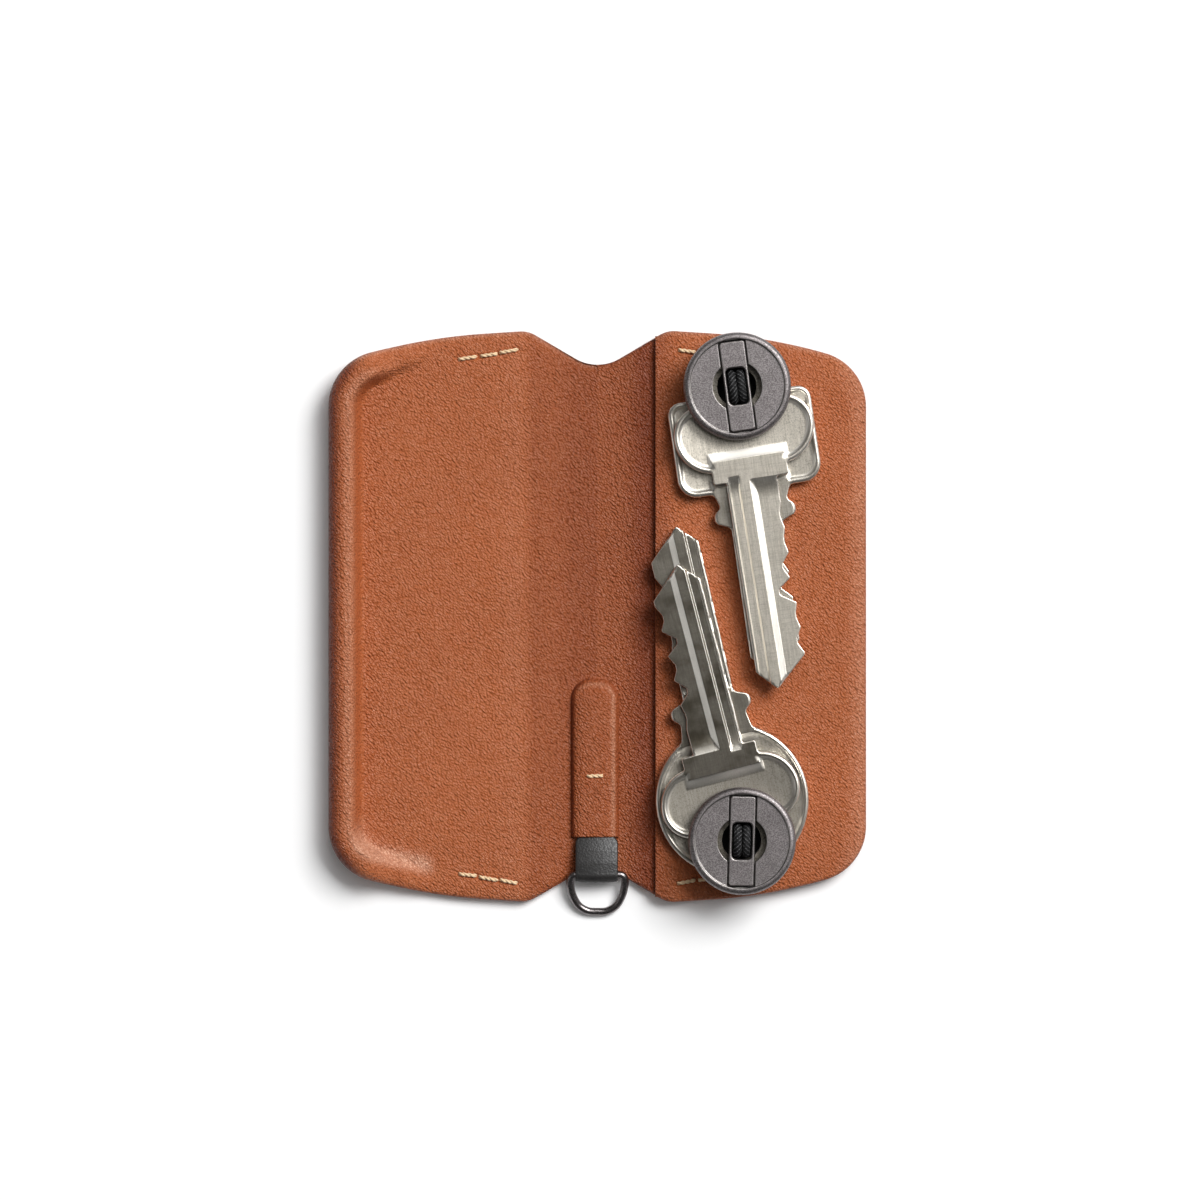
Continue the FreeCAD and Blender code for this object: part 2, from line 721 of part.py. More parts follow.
def make_toggle(label, pin_label, place):
    """Makes the bar that lies in a cap's slot, with a window, and the pin that the cord goes over."""
    bar = start_body(label, z=TOGGLE_BASE, **place)
    sketch = start_sketch(bar, "outline")
    draw_loop(sketch, centred_rectangle("toggle_width", "toggle_length"))
    pad(bar, sketch, "toggle_height")
    half_width, half_length = "toggle_width / 2", "toggle_length / 2"
    corners = both_ends(half_width, half_length) + both_ends(f"-{half_width}", half_length)
    round_upright(bar, "toggle_corner_radius", corners)
    sketch = start_sketch(bar, "window")
    draw_loop(sketch, centred_rectangle("window_width", "window_length"))
    pocket(bar, sketch, reverse=True)
    half_width, half_length = "window_width / 2", "window_length / 2"
    corners = both_ends(half_width, half_length) + both_ends(f"-{half_width}", half_length)
    round_upright(bar, "window_radius", corners)
    top = number("toggle_height")
    dress_edges(bar, "PartDesign::Chamfer", "Size", "toggle_chamfer", lambda edge: lies_at(edge, top))
    sketch = start_sketch(bar, "pin_hole", "YZ_Plane")
    draw_circle(sketch, "0", "pin_rise", "pin_diameter + pin_play * 2")
    pocket(bar, sketch, both=True)

    pin = start_body(pin_label, z=TOGGLE_BASE, **place)
    sketch = start_sketch(pin, "section", "YZ_Plane")
    draw_circle(sketch, "0", "pin_rise", "pin_diameter")
    pad(pin, sketch, "toggle_width", both=True)


def make_cord(label, place):
    """Makes the two strands of a post's elastic, each up from the anchor, over the pin and down."""
    body = start_body(label, z=ANCHOR_TOP, **place)
    bend_height = f"({TOGGLE_BASE} + pin_rise - {ANCHOR_TOP})"
    for name, offset in (("left", "-cord_spacing / 2"), ("right", "cord_spacing / 2")):
        section = start_sketch(body, f"{name}_section")
        draw_circle(section, offset, f"-{CORD_BEND}", "cord_diameter")
        path = start_sketch(body, f"{name}_path", "YZ_Plane", offset)
        draw_open_hoop(path, CORD_BEND, bend_height)
        strand = body.newObject("PartDesign::AdditivePipe", f"{name}_strand")
        strand.Profile = section
        strand.Spine = path
        doc.recompute()


def draw_open_hoop(sketch, half_width, height):
    """Draws two upright legs joined by a half circle."""
    radius, rise = number(half_width), number(height)
    foot, knee = FreeCAD.Vector(-radius, 0, 0), FreeCAD.Vector(-radius, rise, 0)
    crown = FreeCAD.Vector(0, rise + radius, 0)
    far_knee, far_foot = FreeCAD.Vector(radius, rise, 0), FreeCAD.Vector(radius, 0, 0)
    sketch.addGeometry(Part.LineSegment(foot, knee), False)
    sketch.addGeometry(Part.Arc(far_knee, crown, knee), False)
    sketch.addGeometry(Part.LineSegment(far_knee, far_foot), False)
    sketch.addConstraint(Sketcher.Constraint("Tangent", 0, 2, 1, 2))
    sketch.addConstraint(Sketcher.Constraint("Coincident", 1, 1, 2, 1))
    for geometry, point, x, y in (
        (0, 1, f"-{half_width}", "0"),
        (0, 2, f"-{half_width}", height),
        (2, 1, half_width, height),
        (2, 2, half_width, "0"),
    ):
        bound_constraint(sketch, "DistanceX", geometry, point, x)
        bound_constraint(sketch, "DistanceY", geometry, point, y)


def make_posts():
    """Makes both key posts, from the anchor under the lining to the toggle in the cap."""
    for end, post in POSTS.items():
        place = {"x": f"{BACK_FOLD} + {post['x']}", "y": post["y"], "turn": post["turn"]}
        make_cap(f"{end}_cap", place)
        make_toggle(f"{end}_toggle_bar", f"{end}_toggle_pin", place)
        make_cord(f"{end}_cord", place)
        anchor = start_body(f"{end}_cord_anchor", z="outer_leather + anchor_play", **place)
        sketch = start_sketch(anchor, "outline")
        draw_circle(sketch, "0", "0", "anchor_diameter")
        pad(anchor, sketch, "back_board - anchor_play * 2")


# Keys, drawn with the post's hole at zero and the blade pointing down
def upright_radius(across, along):
    """Returns the radius of an arc that is square to its own across direction at one end."""
    return f"((({across}) ^ 2 + ({along}) ^ 2) / (2 * ({across})))"


def eared_bow(inset):
    """Returns the right half of an eared bow, from its neck to its crown."""
    neck, ear = f"(ear_neck_half - {inset})", f"(ear_half_width - {inset})"
    crown = f"(ear_crown_half - {inset})"
    neck_reach = f"(ear_neck_reach - {inset} * ear_neck_bar / bow_rim)"
    top = f"(crown_reach - {inset})"
    return [
        (neck, f"-{neck_reach}"),
        (ear, "-ear_reach", upright_radius(f"{ear} - {neck}", f"{neck_reach} - ear_reach")),
        (crown, "-ear_crown_reach", upright_radius(f"{ear} - {crown}", "ear_reach - ear_crown_reach")),
        ("0", top, upright_radius(f"{top} + ear_crown_reach", crown)),
    ]


def square_bow(inset):
    """Returns the right half of a square bow with round corners and a crown round the hole."""
    side, reach = f"(square_half_width - {inset})", f"(square_reach - {inset})"
    top, crown = f"(square_top + {inset})", f"(square_crown_half - {inset})"
    corner, top_corner = f"(square_radius - {inset})", f"(square_top_radius - {inset})"
    peak = f"(crown_reach - {inset})"
    return [
        (f"(square_neck_half - {inset})", f"-{reach}"),
        (f"{side} - {corner}", f"-{reach}"),
        (side, f"-({reach} - {corner})", corner),
        (side, f"-({top} + {top_corner})"),
        (f"{side} - {top_corner}", f"-{top}", top_corner),
        (crown, f"-{top}"),
        ("0", peak, upright_radius(f"{peak} + {top}", crown)),
    ]


def round_bow(inset):
    """Returns the right half of a round bow."""
    radius, neck = f"(round_radius - {inset})", f"(round_neck_half - {inset})"
    return [
        (neck, f"-(round_reach + sqrt({radius} ^ 2 - {neck} ^ 2))"),
        (radius, "-round_reach", radius),
        ("0", f"{radius} - round_reach", radius),
    ]


def stepped_shoulder(shoulder):
    """Returns the right side of a plain shoulder, from the blade up to the neck."""
    return [("blade_width / 2", f"-{shoulder}"), ("ear_neck_half", f"-{shoulder}")]


def lobed_shoulder(shoulder):
    """Returns the right side of a shoulder with two lobes, from the blade up to the neck."""
    lobe_top = f"({shoulder} - lobe_fall - lobe_length)"
    return [
        ("blade_width / 2", f"-{shoulder}"),
        ("lobe_half", f"-({shoulder} - lobe_fall)"),
        ("lobe_half", f"-{lobe_top}"),
        ("lobe_waist_half", f"-({lobe_top} - lobe_fall)"),
    ]


def bitten_edge(shoulder, reach, depths):
    """Returns the cut edge of a blade, from the tip up to the shoulder, with the cuts that fit."""
    room = number(f"({reach} - tip_long_slant - {shoulder} - bite_start) / bite_pitch")
    depths = depths[:max(int(room + 0.5), 0)]
    if not depths:
        return []
    edge = []
    for index, depth in enumerate(depths):
        place = f"({shoulder} + bite_start + bite_pitch * {index})"
        line = f"blade_width / 2 - bite_step * {depth}"
        edge.append((line, f"-({place} - bite_flat / 2)"))
        edge.append((line, f"-({place} + bite_flat / 2)"))
        if index + 1 < len(depths):
            peak = max(min(depth, depths[index + 1]) - RIDGE_STEPS, 0)
            edge.append((f"blade_width / 2 - bite_step * {peak}", f"-({place} + bite_pitch / 2)"))
    last = f"({shoulder} + bite_start + bite_pitch * {len(depths) - 0.5})"
    edge.append(("blade_width / 2", f"-{last}"))
    edge.insert(0, ("blade_width / 2", f"-({shoulder} + bite_start - bite_pitch / 2)"))
    return edge[::-1]


def mirrored(half):
    """Returns the left half of an outline, from the crown down, for its right half."""
    left = []
    for index in range(len(half) - 2, -1, -1):
        arc = half[index + 1][2:]
        left.append((f"-({half[index][0]})", half[index][1], *arc))
    return left


def make_key(label, post, level, turn, tip_room, bow, shoulder_form, shoulder):
    """Makes a key on its post: a bow with a sunk face, a cut blade and long grooves."""
    height = f"({BACK_TOP} + key_rest_gap + (key_thickness + key_gap) * {level})"
    body = start_body(label, f"{BACK_FOLD} + {post['x']}", post["y"], height, turn)
    right_side = shoulder_form(shoulder) + bow("0")
    reach = f"({POST_SPACING} - {tip_room})"
    sketch = start_sketch(body, "outline")
    tip = [
        ("-blade_width / 2", f"-({reach} - tip_slant)"),
        ("-tip_offset", f"-{reach}"),
        ("blade_width / 2", f"-({reach} - tip_long_slant)"),
    ]
    draw_loop(sketch, tip + bitten_edge(shoulder, reach, BITES[label]) + right_side + mirrored(right_side))
    pad(body, sketch, "key_thickness")

    sketch = start_sketch(body, "sunk_face", offset="key_thickness")
    half = bow("bow_rim")
    draw_loop(sketch, half + mirrored(half))
    pocket(body, sketch, "bow_recess")
    sketch = start_sketch(body, "post_hole")
    draw_circle(sketch, "0", "0", "key_hole")
    pocket(body, sketch, reverse=True)

    sketch = start_sketch(body, "grooves", "XZ_Plane", f"{shoulder} + groove_start")
    top_grooves = [("-groove_offset", "key_thickness", -1), ("groove_middle", "key_thickness", -1)]
    for middle, face, inward in top_grooves + [("-groove_middle", "0", 1)]:
        outside, floor = f"{face} - {inward} * groove_depth", f"{face} + {inward} * groove_depth"
        mouth = "(groove_width - groove_floor / 2)"
        ends = [
            (f"{middle} - {mouth}", outside),
            (f"{middle} + {mouth}", outside),
            (f"{middle} + groove_floor / 2", floor),
            (f"{middle} - groove_floor / 2", floor),
        ]
        draw_loop(sketch, ends if inward > 0 else ends[::-1])
    pocket(body, sketch, reach, reverse=True)


def make_keys():
    """Makes the two keys on each post."""
    upper, lower = POSTS["upper"], POSTS["lower"]
    eared = (eared_bow, stepped_shoulder, "ear_shoulder")
    make_key("upper_front_key", upper, 1, "upper_front_angle", "upper_front_tip_room", *eared)
    make_key("lower_front_key", lower, 1, "lower_front_angle", "lower_front_tip_room", *eared)
    square = (square_bow, lobed_shoulder, "square_shoulder")
    make_key("upper_rear_key", upper, 0, "upper_rear_angle", "upper_rear_tip_room", *square)
    ring_bow = (round_bow, lobed_shoulder, "round_shoulder")
    make_key("lower_rear_key", lower, 0, "lower_rear_angle", "lower_rear_tip_room", *ring_bow)


make_back_panel()
make_front_flap()
make_front_rim()
make_stitches()
make_spine()
make_tab()
make_ring()
make_posts()
make_keys()
doc.recompute()

# Every object has to be sound before any file is written
for thing in doc.Objects:
    if "Invalid" in thing.State or "Error" in thing.State:
        raise RuntimeError(f"{thing.Label} failed: {thing.State}")

pieces = [thing for thing in doc.Objects if thing.TypeId == "PartDesign::Body"]
for piece in pieces:
    if piece.Shape.isNull() or not piece.Shape.isValid():
        raise RuntimeError(f"{piece.Label} has no sound shape")

os.makedirs("parts", exist_ok=True)
for piece in pieces:
    piece.Shape.exportStep(f"parts/{piece.Label}.step")
    print(f"{piece.Label}: {len(piece.Shape.Solids)} solid(s), {piece.Shape.Volume:.1f} mm3")
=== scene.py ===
# %% [markdown]
# A folding leather key case lies open on a white table, seen from straight above.
# Its caps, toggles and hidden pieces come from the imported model, which stays where it is.
# This lesson dresses them, and makes the leather, thread, strap, ring, elastic and keys as new meshes.

# %% Load the frame
import json
import math

import bmesh
import bpy
import numpy as np
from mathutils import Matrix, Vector
from mathutils.geometry import delaunay_2d_cdt
from mathutils.kdtree import KDTree


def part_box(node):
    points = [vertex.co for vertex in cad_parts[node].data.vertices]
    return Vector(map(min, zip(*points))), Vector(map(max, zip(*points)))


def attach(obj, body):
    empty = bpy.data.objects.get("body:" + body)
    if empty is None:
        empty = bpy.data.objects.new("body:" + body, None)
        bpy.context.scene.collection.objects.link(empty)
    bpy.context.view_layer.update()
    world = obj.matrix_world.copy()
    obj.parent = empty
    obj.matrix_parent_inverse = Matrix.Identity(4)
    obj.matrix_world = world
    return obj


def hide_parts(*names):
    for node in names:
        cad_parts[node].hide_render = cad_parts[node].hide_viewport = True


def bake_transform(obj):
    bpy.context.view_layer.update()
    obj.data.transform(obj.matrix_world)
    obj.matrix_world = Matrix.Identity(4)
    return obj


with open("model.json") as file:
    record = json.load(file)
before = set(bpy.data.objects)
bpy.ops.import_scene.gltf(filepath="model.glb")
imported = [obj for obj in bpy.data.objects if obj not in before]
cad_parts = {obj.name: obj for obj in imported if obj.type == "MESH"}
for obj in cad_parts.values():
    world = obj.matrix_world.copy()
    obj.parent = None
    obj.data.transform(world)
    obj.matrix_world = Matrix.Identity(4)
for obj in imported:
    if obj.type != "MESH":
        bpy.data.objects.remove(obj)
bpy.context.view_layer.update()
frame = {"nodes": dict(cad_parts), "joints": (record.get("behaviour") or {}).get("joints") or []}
nodes = frame["nodes"]

# %% [markdown]
# Blender works in metres, but a case this small is easier to think of in millimetres.
# The folds are read from the joints, so that the leather bends where the model bends.
# Distances across the case are counted from the middle of the spine.

# %% Find the folds and the panels
MM = 0.001
joints = {joint["name"]: joint for joint in frame["joints"]}


def joint_place(name):
    """Returns a joint's own point in millimetres."""
    return np.array(joints[name]["pos_m"]) / MM


def node_box(name):
    """Returns the lowest and highest corner of a node in millimetres."""
    low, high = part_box(name)
    return np.array(low) / MM, np.array(high) / MM


def node_top(name):
    """Returns the height of a node's top in millimetres."""
    return node_box(name)[1][2]


BACK_FOLD = joint_place("spine_fold")[0]
FRONT_FOLD = joint_place("cover_fold")[0]
SPINE_MIDDLE = (BACK_FOLD + FRONT_FOLD) / 2
SPINE_HALF = (BACK_FOLD - FRONT_FOLD) / 2
CASE_HALF = node_box("back_outer_leather")[1][0] - SPINE_MIDDLE
FLOOR_TOP = node_top("front_lining")
RIM_TOP = node_top("front_rim")
SPINE_TOP = node_top("spine_lining")
OVERLAY_TOP = node_top("back_lining")
OUTER_TOP = node_top("back_outer_leather")
print(f"case {2 * CASE_HALF:.1f} mm wide, spine at {SPINE_MIDDLE:.2f}, rim {RIM_TOP:.1f} high")

# %% [markdown]
# The photograph looks straight down through a long lens, so near and far edges hardly shift.
# A camera 0.9 m up whose frame is 200 mm wide on the leather gives the same flat look.

# %% Camera
CAMERA_HEIGHT = 900.0
CAMERA_NEAR = 50.0
FRAME_WIDTH = 200.0
FRAME_MIDDLE = (-25.96, 2.75)


def add_object(name, data):
    """Puts a camera, a lamp or a mesh into the scene."""
    made = bpy.data.objects.new(name, data)
    bpy.context.collection.objects.link(made)
    return made


camera_data = bpy.data.cameras.new("camera")
camera_data.lens = camera_data.sensor_width * CAMERA_HEIGHT / FRAME_WIDTH
camera_data.clip_start = CAMERA_NEAR * MM
camera = add_object("camera", camera_data)
camera.location = Vector((*FRAME_MIDDLE, CAMERA_HEIGHT + FLOOR_TOP)) * MM
bpy.context.scene.camera = camera
print(f"lens {camera_data.lens:.0f} mm")

# %% [markdown]
# A material is a graph of nodes, and long sums of nodes are hard to read when each one is wired by hand.
# This small class wraps a socket, so that plain Python sums make the Math nodes by themselves.
# Any other node comes from one method: its type, its settings first, then what goes into its sockets.


# %% Shader sums as Python expressions
class Sum:
    """A value, colour or vector inside a material, on which Python sums work."""

    def __init__(self, tree, socket):
        self.tree = tree
        self.socket = socket

    def node(self, kind, settings=None, inputs=None, output=0):
        """Adds any node: sets its settings, fills its sockets and returns one of its outputs."""
        made = self.tree.nodes.new(kind)
        for name, value in (settings or {}).items():
            setattr(made, name, value)
        for name, value in (inputs or {}).items():
            feed(self.tree, made.inputs[name], value)
        return Sum(self.tree, made.outputs[output])

    def maths(self, operation, first, second):
        """Adds one Math node, or a Vector Math node where this is a vector."""
        kind = "ShaderNodeVectorMath" if self.socket.type == "VECTOR" else "ShaderNodeMath"
        return self.node(kind, {"operation": operation}, {0: first, 1: second})

    def __add__(self, other):
        return self.maths("ADD", self, other)

    def __radd__(self, other):
        return self.maths("ADD", other, self)

    def __sub__(self, other):
        return self.maths("SUBTRACT", self, other)

    def __rsub__(self, other):
        return self.maths("SUBTRACT", other, self)

    def __mul__(self, other):
        return self.maths("MULTIPLY", self, other)

    def __rmul__(self, other):
        return self.maths("MULTIPLY", other, self)

    def ease(self, low, high):
        """Rises smoothly from 0 at low to 1 at high."""
        settings = {"interpolation_type": "SMOOTHSTEP"}
        return self.node("ShaderNodeMapRange", settings, {"Value": self, "From Min": low, "From Max": high})

    def noise(self, size_mm, detail=2.0, roughness=0.5):
        """Soft random spots of about the given size on these coordinates."""
        inputs = {"Vector": self, "Scale": 1 / (size_mm * MM), "Detail": detail, "Roughness": roughness}
        return self.node("ShaderNodeTexNoise", None, inputs)

    def cells(self, size_mm, feature="F1"):
        """Distance to the nearest of scattered points of about the given spacing."""
        inputs = {"Vector": self, "Scale": 1 / (size_mm * MM)}
        return self.node("ShaderNodeTexVoronoi", {"feature": feature}, inputs)

    def turned(self, angle):
        """Turns these coordinates about the upright axis."""
        inputs = {"Vector": self, "Angle": angle}
        return self.node("ShaderNodeVectorRotate", {"rotation_type": "Z_AXIS"}, inputs)

    def mix(self, first, second, blend="MIX"):
        """Blends two colours, with this value as the share of the second."""
        settings = {"data_type": "RGBA", "blend_type": blend}
        return self.node("ShaderNodeMix", settings, {0: self, 6: first, 7: second}, output=2)


def feed(tree, socket, value):
    """Links a sum to a socket, or sets the socket to a plain value."""
    if isinstance(value, Sum):
        tree.links.new(value.socket, socket)
    else:
        socket.default_value = value


print("sums ready")

# %% [markdown]
# Every finish here is one Principled shader: some sockets stay the same all over, others change.
# Colour is laid on in coats, as dye, dirt and wear are on the real thing, and as painted shade and
# highlights, each by its own share.
# Heights become a bump, which shades the finest relief that would need too many points as a mesh.


# %% Start and finish a material
def paint(red, green, blue):
    """Turns a colour of 0 to 255, as screens show it, into the linear one that shaders use."""
    channels = [channel / 255 for channel in (red, green, blue)]
    linear = [c / 12.92 if c <= 0.04045 else ((c + 0.055) / 1.055) ** 2.4 for c in channels]
    return (*linear, 1.0)


def start_material(name, **fixed):
    """Starts a material, sets the sockets that stay the same all over, and returns its parts."""
    material = bpy.data.materials.new(name)
    material.use_nodes = True
    tree = material.node_tree
    shader = tree.nodes["Principled BSDF"]
    for socket, value in fixed.items():
        shader.inputs[socket.replace("_", " ").title().replace("Ior", "IOR")].default_value = value
    coordinates = tree.nodes.new("ShaderNodeTexCoord")
    return material, shader, Sum(tree, coordinates.outputs["Object"])


def attribute(at, name, output="Fac"):
    """Reads a value that the mesh keeps at its points."""
    return at.node("ShaderNodeAttribute", {"attribute_name": name}, output=output)


def layered(colour, coats):
    """Lays coats of colour over a first one, each by its own share."""
    for share, coat in coats:
        colour = share.mix(colour, coat)
    return colour


def finish_material(material, shader, colour, roughness, height, depth_mm, normal=None):
    """Links what changes over the surface to the shader, with the height as a bump on the normal."""
    tree = material.node_tree
    inputs = {"Height": height, "Distance": depth_mm * MM, "Strength": 1.0}
    if normal:
        inputs["Normal"] = normal
    feed(tree, shader.inputs["Base Color"], colour)
    feed(tree, shader.inputs["Roughness"], roughness)
    feed(tree, shader.inputs["Normal"], height.node("ShaderNodeBump", None, inputs))
    print(f"material {material.name}: {len(tree.nodes)} nodes")
    return material


# %% [markdown]
# The leather is one smooth tan hide with a fine pebbled grain about a third of a millimetre across.
# Cells give the pebbles, two finer noises break them up, and slow noise mottles the dye.
# Each mesh keeps its own resting place at its points, so the grain stays put when the case folds.

# %% Tan leather
TAN = paint(178, 95, 50)
TAN_DEEP = paint(112, 54, 28)
TAN_PALE = paint(242, 176, 134)
TAN_HIGHLIGHT = paint(250, 206, 178)
TAN_PRESSED = paint(196, 104, 58)
TAN_SHADED = paint(172, 136, 100)
TAN_EDGE = paint(138, 76, 52)
PEBBLE_SIZE = 0.3
CREASE_SIZE = 0.36
FINE_SIZE = 0.13
SPOT_SIZE = 2.0
MOTTLE_SIZE = 16.0
GRAIN_DEPTH = 0.23
GRAIN_TURN = 0.78
GRAIN_STRETCH = (0.6, 1.0, 1.0)


def make_leather():
    """Makes the tan leather: pebbled grain, mottled dye, burnished edges, painted shade in the folds and
    painted highlights.
    """
    material, shader, at = start_material("tan_leather", specular_ior_level=0.36)
    rest = attribute(at, "rest", "Vector")
    drawn = rest.turned(GRAIN_TURN) * GRAIN_STRETCH
    pebbles = drawn.cells(PEBBLE_SIZE)
    creases = drawn.noise(CREASE_SIZE, 2.0, 0.6)
    fine = drawn.noise(FINE_SIZE, 2.0, 0.6)
    hollow = pebbles.ease(0.4, 0.8)
    crown = 1.0 - pebbles.ease(0.1, 0.42)
    grain = creases * 0.9 + fine * 0.3 - pebbles * pebbles
    painted_sheen_and_wear = attribute(at, "painted_sheen_and_wear")
    colour = layered(TAN, [
        (rest.noise(MOTTLE_SIZE, 3.0).ease(0.3, 0.7) * 0.1, TAN_DEEP),
        (rest.noise(SPOT_SIZE, 3.0).ease(0.3, 0.75) * 0.06, TAN_PALE),
        # Painted sheen: where a mesh marks a highlight, the colour is lightened.
        (painted_sheen_and_wear * (0.3 + crown * 0.45), TAN_HIGHLIGHT),
        # Painted glints lighten the pebbles' tops.
        (fine.ease(0.45, 0.65) * crown * 0.4, TAN_PALE),
        (hollow * 0.18, TAN_DEEP),
        (attribute(at, "pressed") * 0.3, TAN_PRESSED),
        (attribute(at, "edge") * 0.5, TAN_EDGE),
    ])
    # Painted shade darkens what a mesh marks as shaded: folds, creases and sides turned from the lamps.
    colour = attribute(at, "shaded").mix(colour, TAN_SHADED, "MULTIPLY")
    roughness = 0.33 + hollow * 0.24 + fine * 0.08 - painted_sheen_and_wear * 0.05
    return finish_material(material, shader, colour, roughness, grain, GRAIN_DEPTH)


leather = make_leather()

# %% [markdown]
# Every leather piece is a flat cut that is then pressed into shape, so each one starts as an outline.
# Straight runs with rounded corners describe such a cut in a few numbers.
# Long runs are then divided, because a mesh can only bend where it has points.


# %% Draw outlines
def rounded_path(corners, step):
    """Returns points along straight runs whose inner corners (x, y, radius) are rounded by arcs."""
    places = [np.array(corner[:2], float) for corner in corners]
    path = [places[0]]
    for before, corner, after, (*_, radius) in zip(places, places[1:], places[2:], corners[1:]):
        into = (corner - before) / np.linalg.norm(corner - before)
        out = (after - corner) / np.linalg.norm(after - corner)
        cross = into[0] * out[1] - into[1] * out[0]
        turn = math.atan2(cross, float(into @ out))
        reach = radius * math.tan(abs(turn) / 2)
        start = corner - into * reach
        centre = start + np.array([-into[1], into[0]]) * radius * np.sign(turn)
        spoke = start - centre
        count = max(int(abs(turn) * radius / step), 2)
        for angle in np.linspace(0.0, turn, count + 1):
            c, s = math.cos(angle), math.sin(angle)
            path.append(centre + np.array([c * spoke[0] - s * spoke[1], s * spoke[0] + c * spoke[1]]))
    path.append(places[-1])
    return np.array(path)


def circle_points(x, y, radius, count=40):
    """Returns points round a circle."""
    angles = np.linspace(0, 2 * math.pi, count, endpoint=False)
    return np.column_stack([x + radius * np.cos(angles), y + radius * np.sin(angles)])


def divided(path, step):
    """Returns a path with its long runs divided into steps."""
    points = [path[0]]
    for start, end in zip(path, path[1:]):
        count = max(int(np.linalg.norm(end - start) / step + 0.5), 1)
        points += [start + (end - start) * k / count for k in range(1, count + 1)]
    return np.array(points)


def closing_points(path, step):
    """Returns the points of the straight line that joins a path's two ends, without those ends."""
    return divided(np.array([path[-1], path[0]]), step)[1:-1]


print("outlines ready")

# %% [markdown]
# An outline is filled with points before it becomes a mesh.
# Rings of points run along the edge, because that is where a cut edge or a rim turns over quickly.
# Inside them an even, staggered field is enough.

# %% Fill an outline with points
TINY = 1e-12
RING_TOLERANCE = 0.02


def edge_distance(points, path):
    """Returns how far each point lies from an open path."""
    best = np.full(len(points), np.inf)
    for start, end in zip(path, path[1:]):
        run = end - start
        share = np.clip(((points - start) @ run) / max(run @ run, TINY), 0, 1)
        gap = np.linalg.norm(points - start - share[:, None] * run, axis=1)
        best = np.minimum(best, gap)
    return best


def lies_inside(points, loop):
    """Says which points lie inside a closed outline."""
    inside = np.zeros(len(points), bool)
    x, y = points[:, 0], points[:, 1]
    for (ax, ay), (bx, by) in zip(loop, np.roll(loop, -1, axis=0)):
        crosses = (ay > y) != (by > y)
        rise = by - ay if abs(by - ay) > TINY else TINY
        inside ^= crosses & (x < ax + (y - ay) / rise * (bx - ax))
    return inside


def ring_points(path, inset):
    """Returns a path's points moved to its left, where they keep their distance from all of it."""
    run = np.gradient(path, axis=0)
    run /= np.linalg.norm(run, axis=1)[:, None]
    moved = path + np.stack([-run[:, 1], run[:, 0]], axis=1) * inset
    return moved[edge_distance(moved, path) > inset - RING_TOLERANCE]


def field_points(loop, spacing):
    """Returns a field of evenly staggered points over the outline's box."""
    low, high = loop.min(0), loop.max(0)
    field = []
    for index, y in enumerate(np.arange(low[1], high[1], spacing * math.sqrt(3) / 2)):
        start = low[0] + (index % 2) * spacing / 2
        field += [(x, y) for x in np.arange(start, high[0], spacing)]
    return np.array(field)


def far_from(points, others, reach):
    """Returns the points that keep a distance from all the others."""
    tree = KDTree(len(others))
    for index, place in enumerate(others):
        tree.insert((*place, 0.0), index)
    tree.balance()
    return np.array([p for p in points if tree.find((*p, 0.0))[2] > reach]).reshape(-1, 2)


print("fields ready")

# %% [markdown]
# The filled outline is cut into triangles, none of which crosses its edge or lies in a hole.
# They are made as even as they can be, so that light runs smoothly over them.

# %% Cut an outline into triangles
WELD = 1e-5


def triangulated(loop, points, holes):
    """Returns the points and triangles that fill an outline round its holes (x, y, radius)."""
    sets = [loop, points]
    edges = []
    start = len(loop) + len(points)
    for hole in holes:
        ring = circle_points(*hole)
        sets.append(ring)
        edges += [(start + k, start + (k + 1) % len(ring)) for k in range(len(ring))]
        start += len(ring)
    places = [Vector(place) for place in np.vstack(sets)]
    made = delaunay_2d_cdt(places, edges, [list(range(len(loop)))], 1, WELD)
    plan = np.array([tuple(place) for place in made[0]])
    faces = [tuple(face) for face in made[2]]
    for x, y, radius in holes:
        middles = [plan[list(face)].mean(axis=0) for face in faces]
        away = [math.hypot(middle[0] - x, middle[1] - y) for middle in middles]
        faces = [face for face, gap in zip(faces, away) if gap > radius * 0.99]
    return plan, faces


def signed_area(plan, face):
    """Returns twice the area of a triangle, below zero where it runs clockwise."""
    a, b, c = plan[face[0]], plan[face[1]], plan[face[2]]
    return (b[0] - a[0]) * (c[1] - a[1]) - (b[1] - a[1]) * (c[0] - a[0])


def border_of(faces):
    """Returns the edges that only one face uses, in that face's own direction."""
    seen = {}
    for face in faces:
        for a, b in zip(face, face[1:] + face[:1]):
            seen[(a, b)] = True
    return [(a, b) for a, b in seen if (b, a) not in seen]


print("triangles ready")

# %% [markdown]
# A skin uses its triangles twice: for the upper face and, turned over, for the lower one.
# A strip of faces round the border and round each hole closes the piece.
# Marks such as burnish, painted shade and painted highlights are kept at the points, where the material reads
# them.

# %% Make meshes and skins
SHARP_ANGLE = 62
ROW_CLEARANCE = 0.26
HOLE_CLEARANCE = 0.1


def keep_values(mesh, label, values):
    """Keeps one value at each point of a mesh."""
    kept = mesh.attributes.new(label, "FLOAT", "POINT")
    kept.data.foreach_set("value", np.asarray(values, np.float32))


def make_object(name, points, faces, material=None, marks=None):
    """Makes a smooth mesh object from points in millimetres, with marks kept at its points."""
    mesh = bpy.data.meshes.new(name)
    places = np.asarray(points) * MM
    mesh.from_pydata(places.tolist(), [], faces)
    mesh.update()
    rest = mesh.attributes.new("rest", "FLOAT_VECTOR", "POINT")
    rest.data.foreach_set("vector", places.astype(np.float32).ravel())
    for label, values in (marks or {}).items():
        keep_values(mesh, label, values)
    mesh.shade_smooth()
    mesh.set_sharp_from_angle(angle=math.radians(SHARP_ANGLE))
    if material:
        mesh.materials.append(material)
    return add_object(name, mesh)


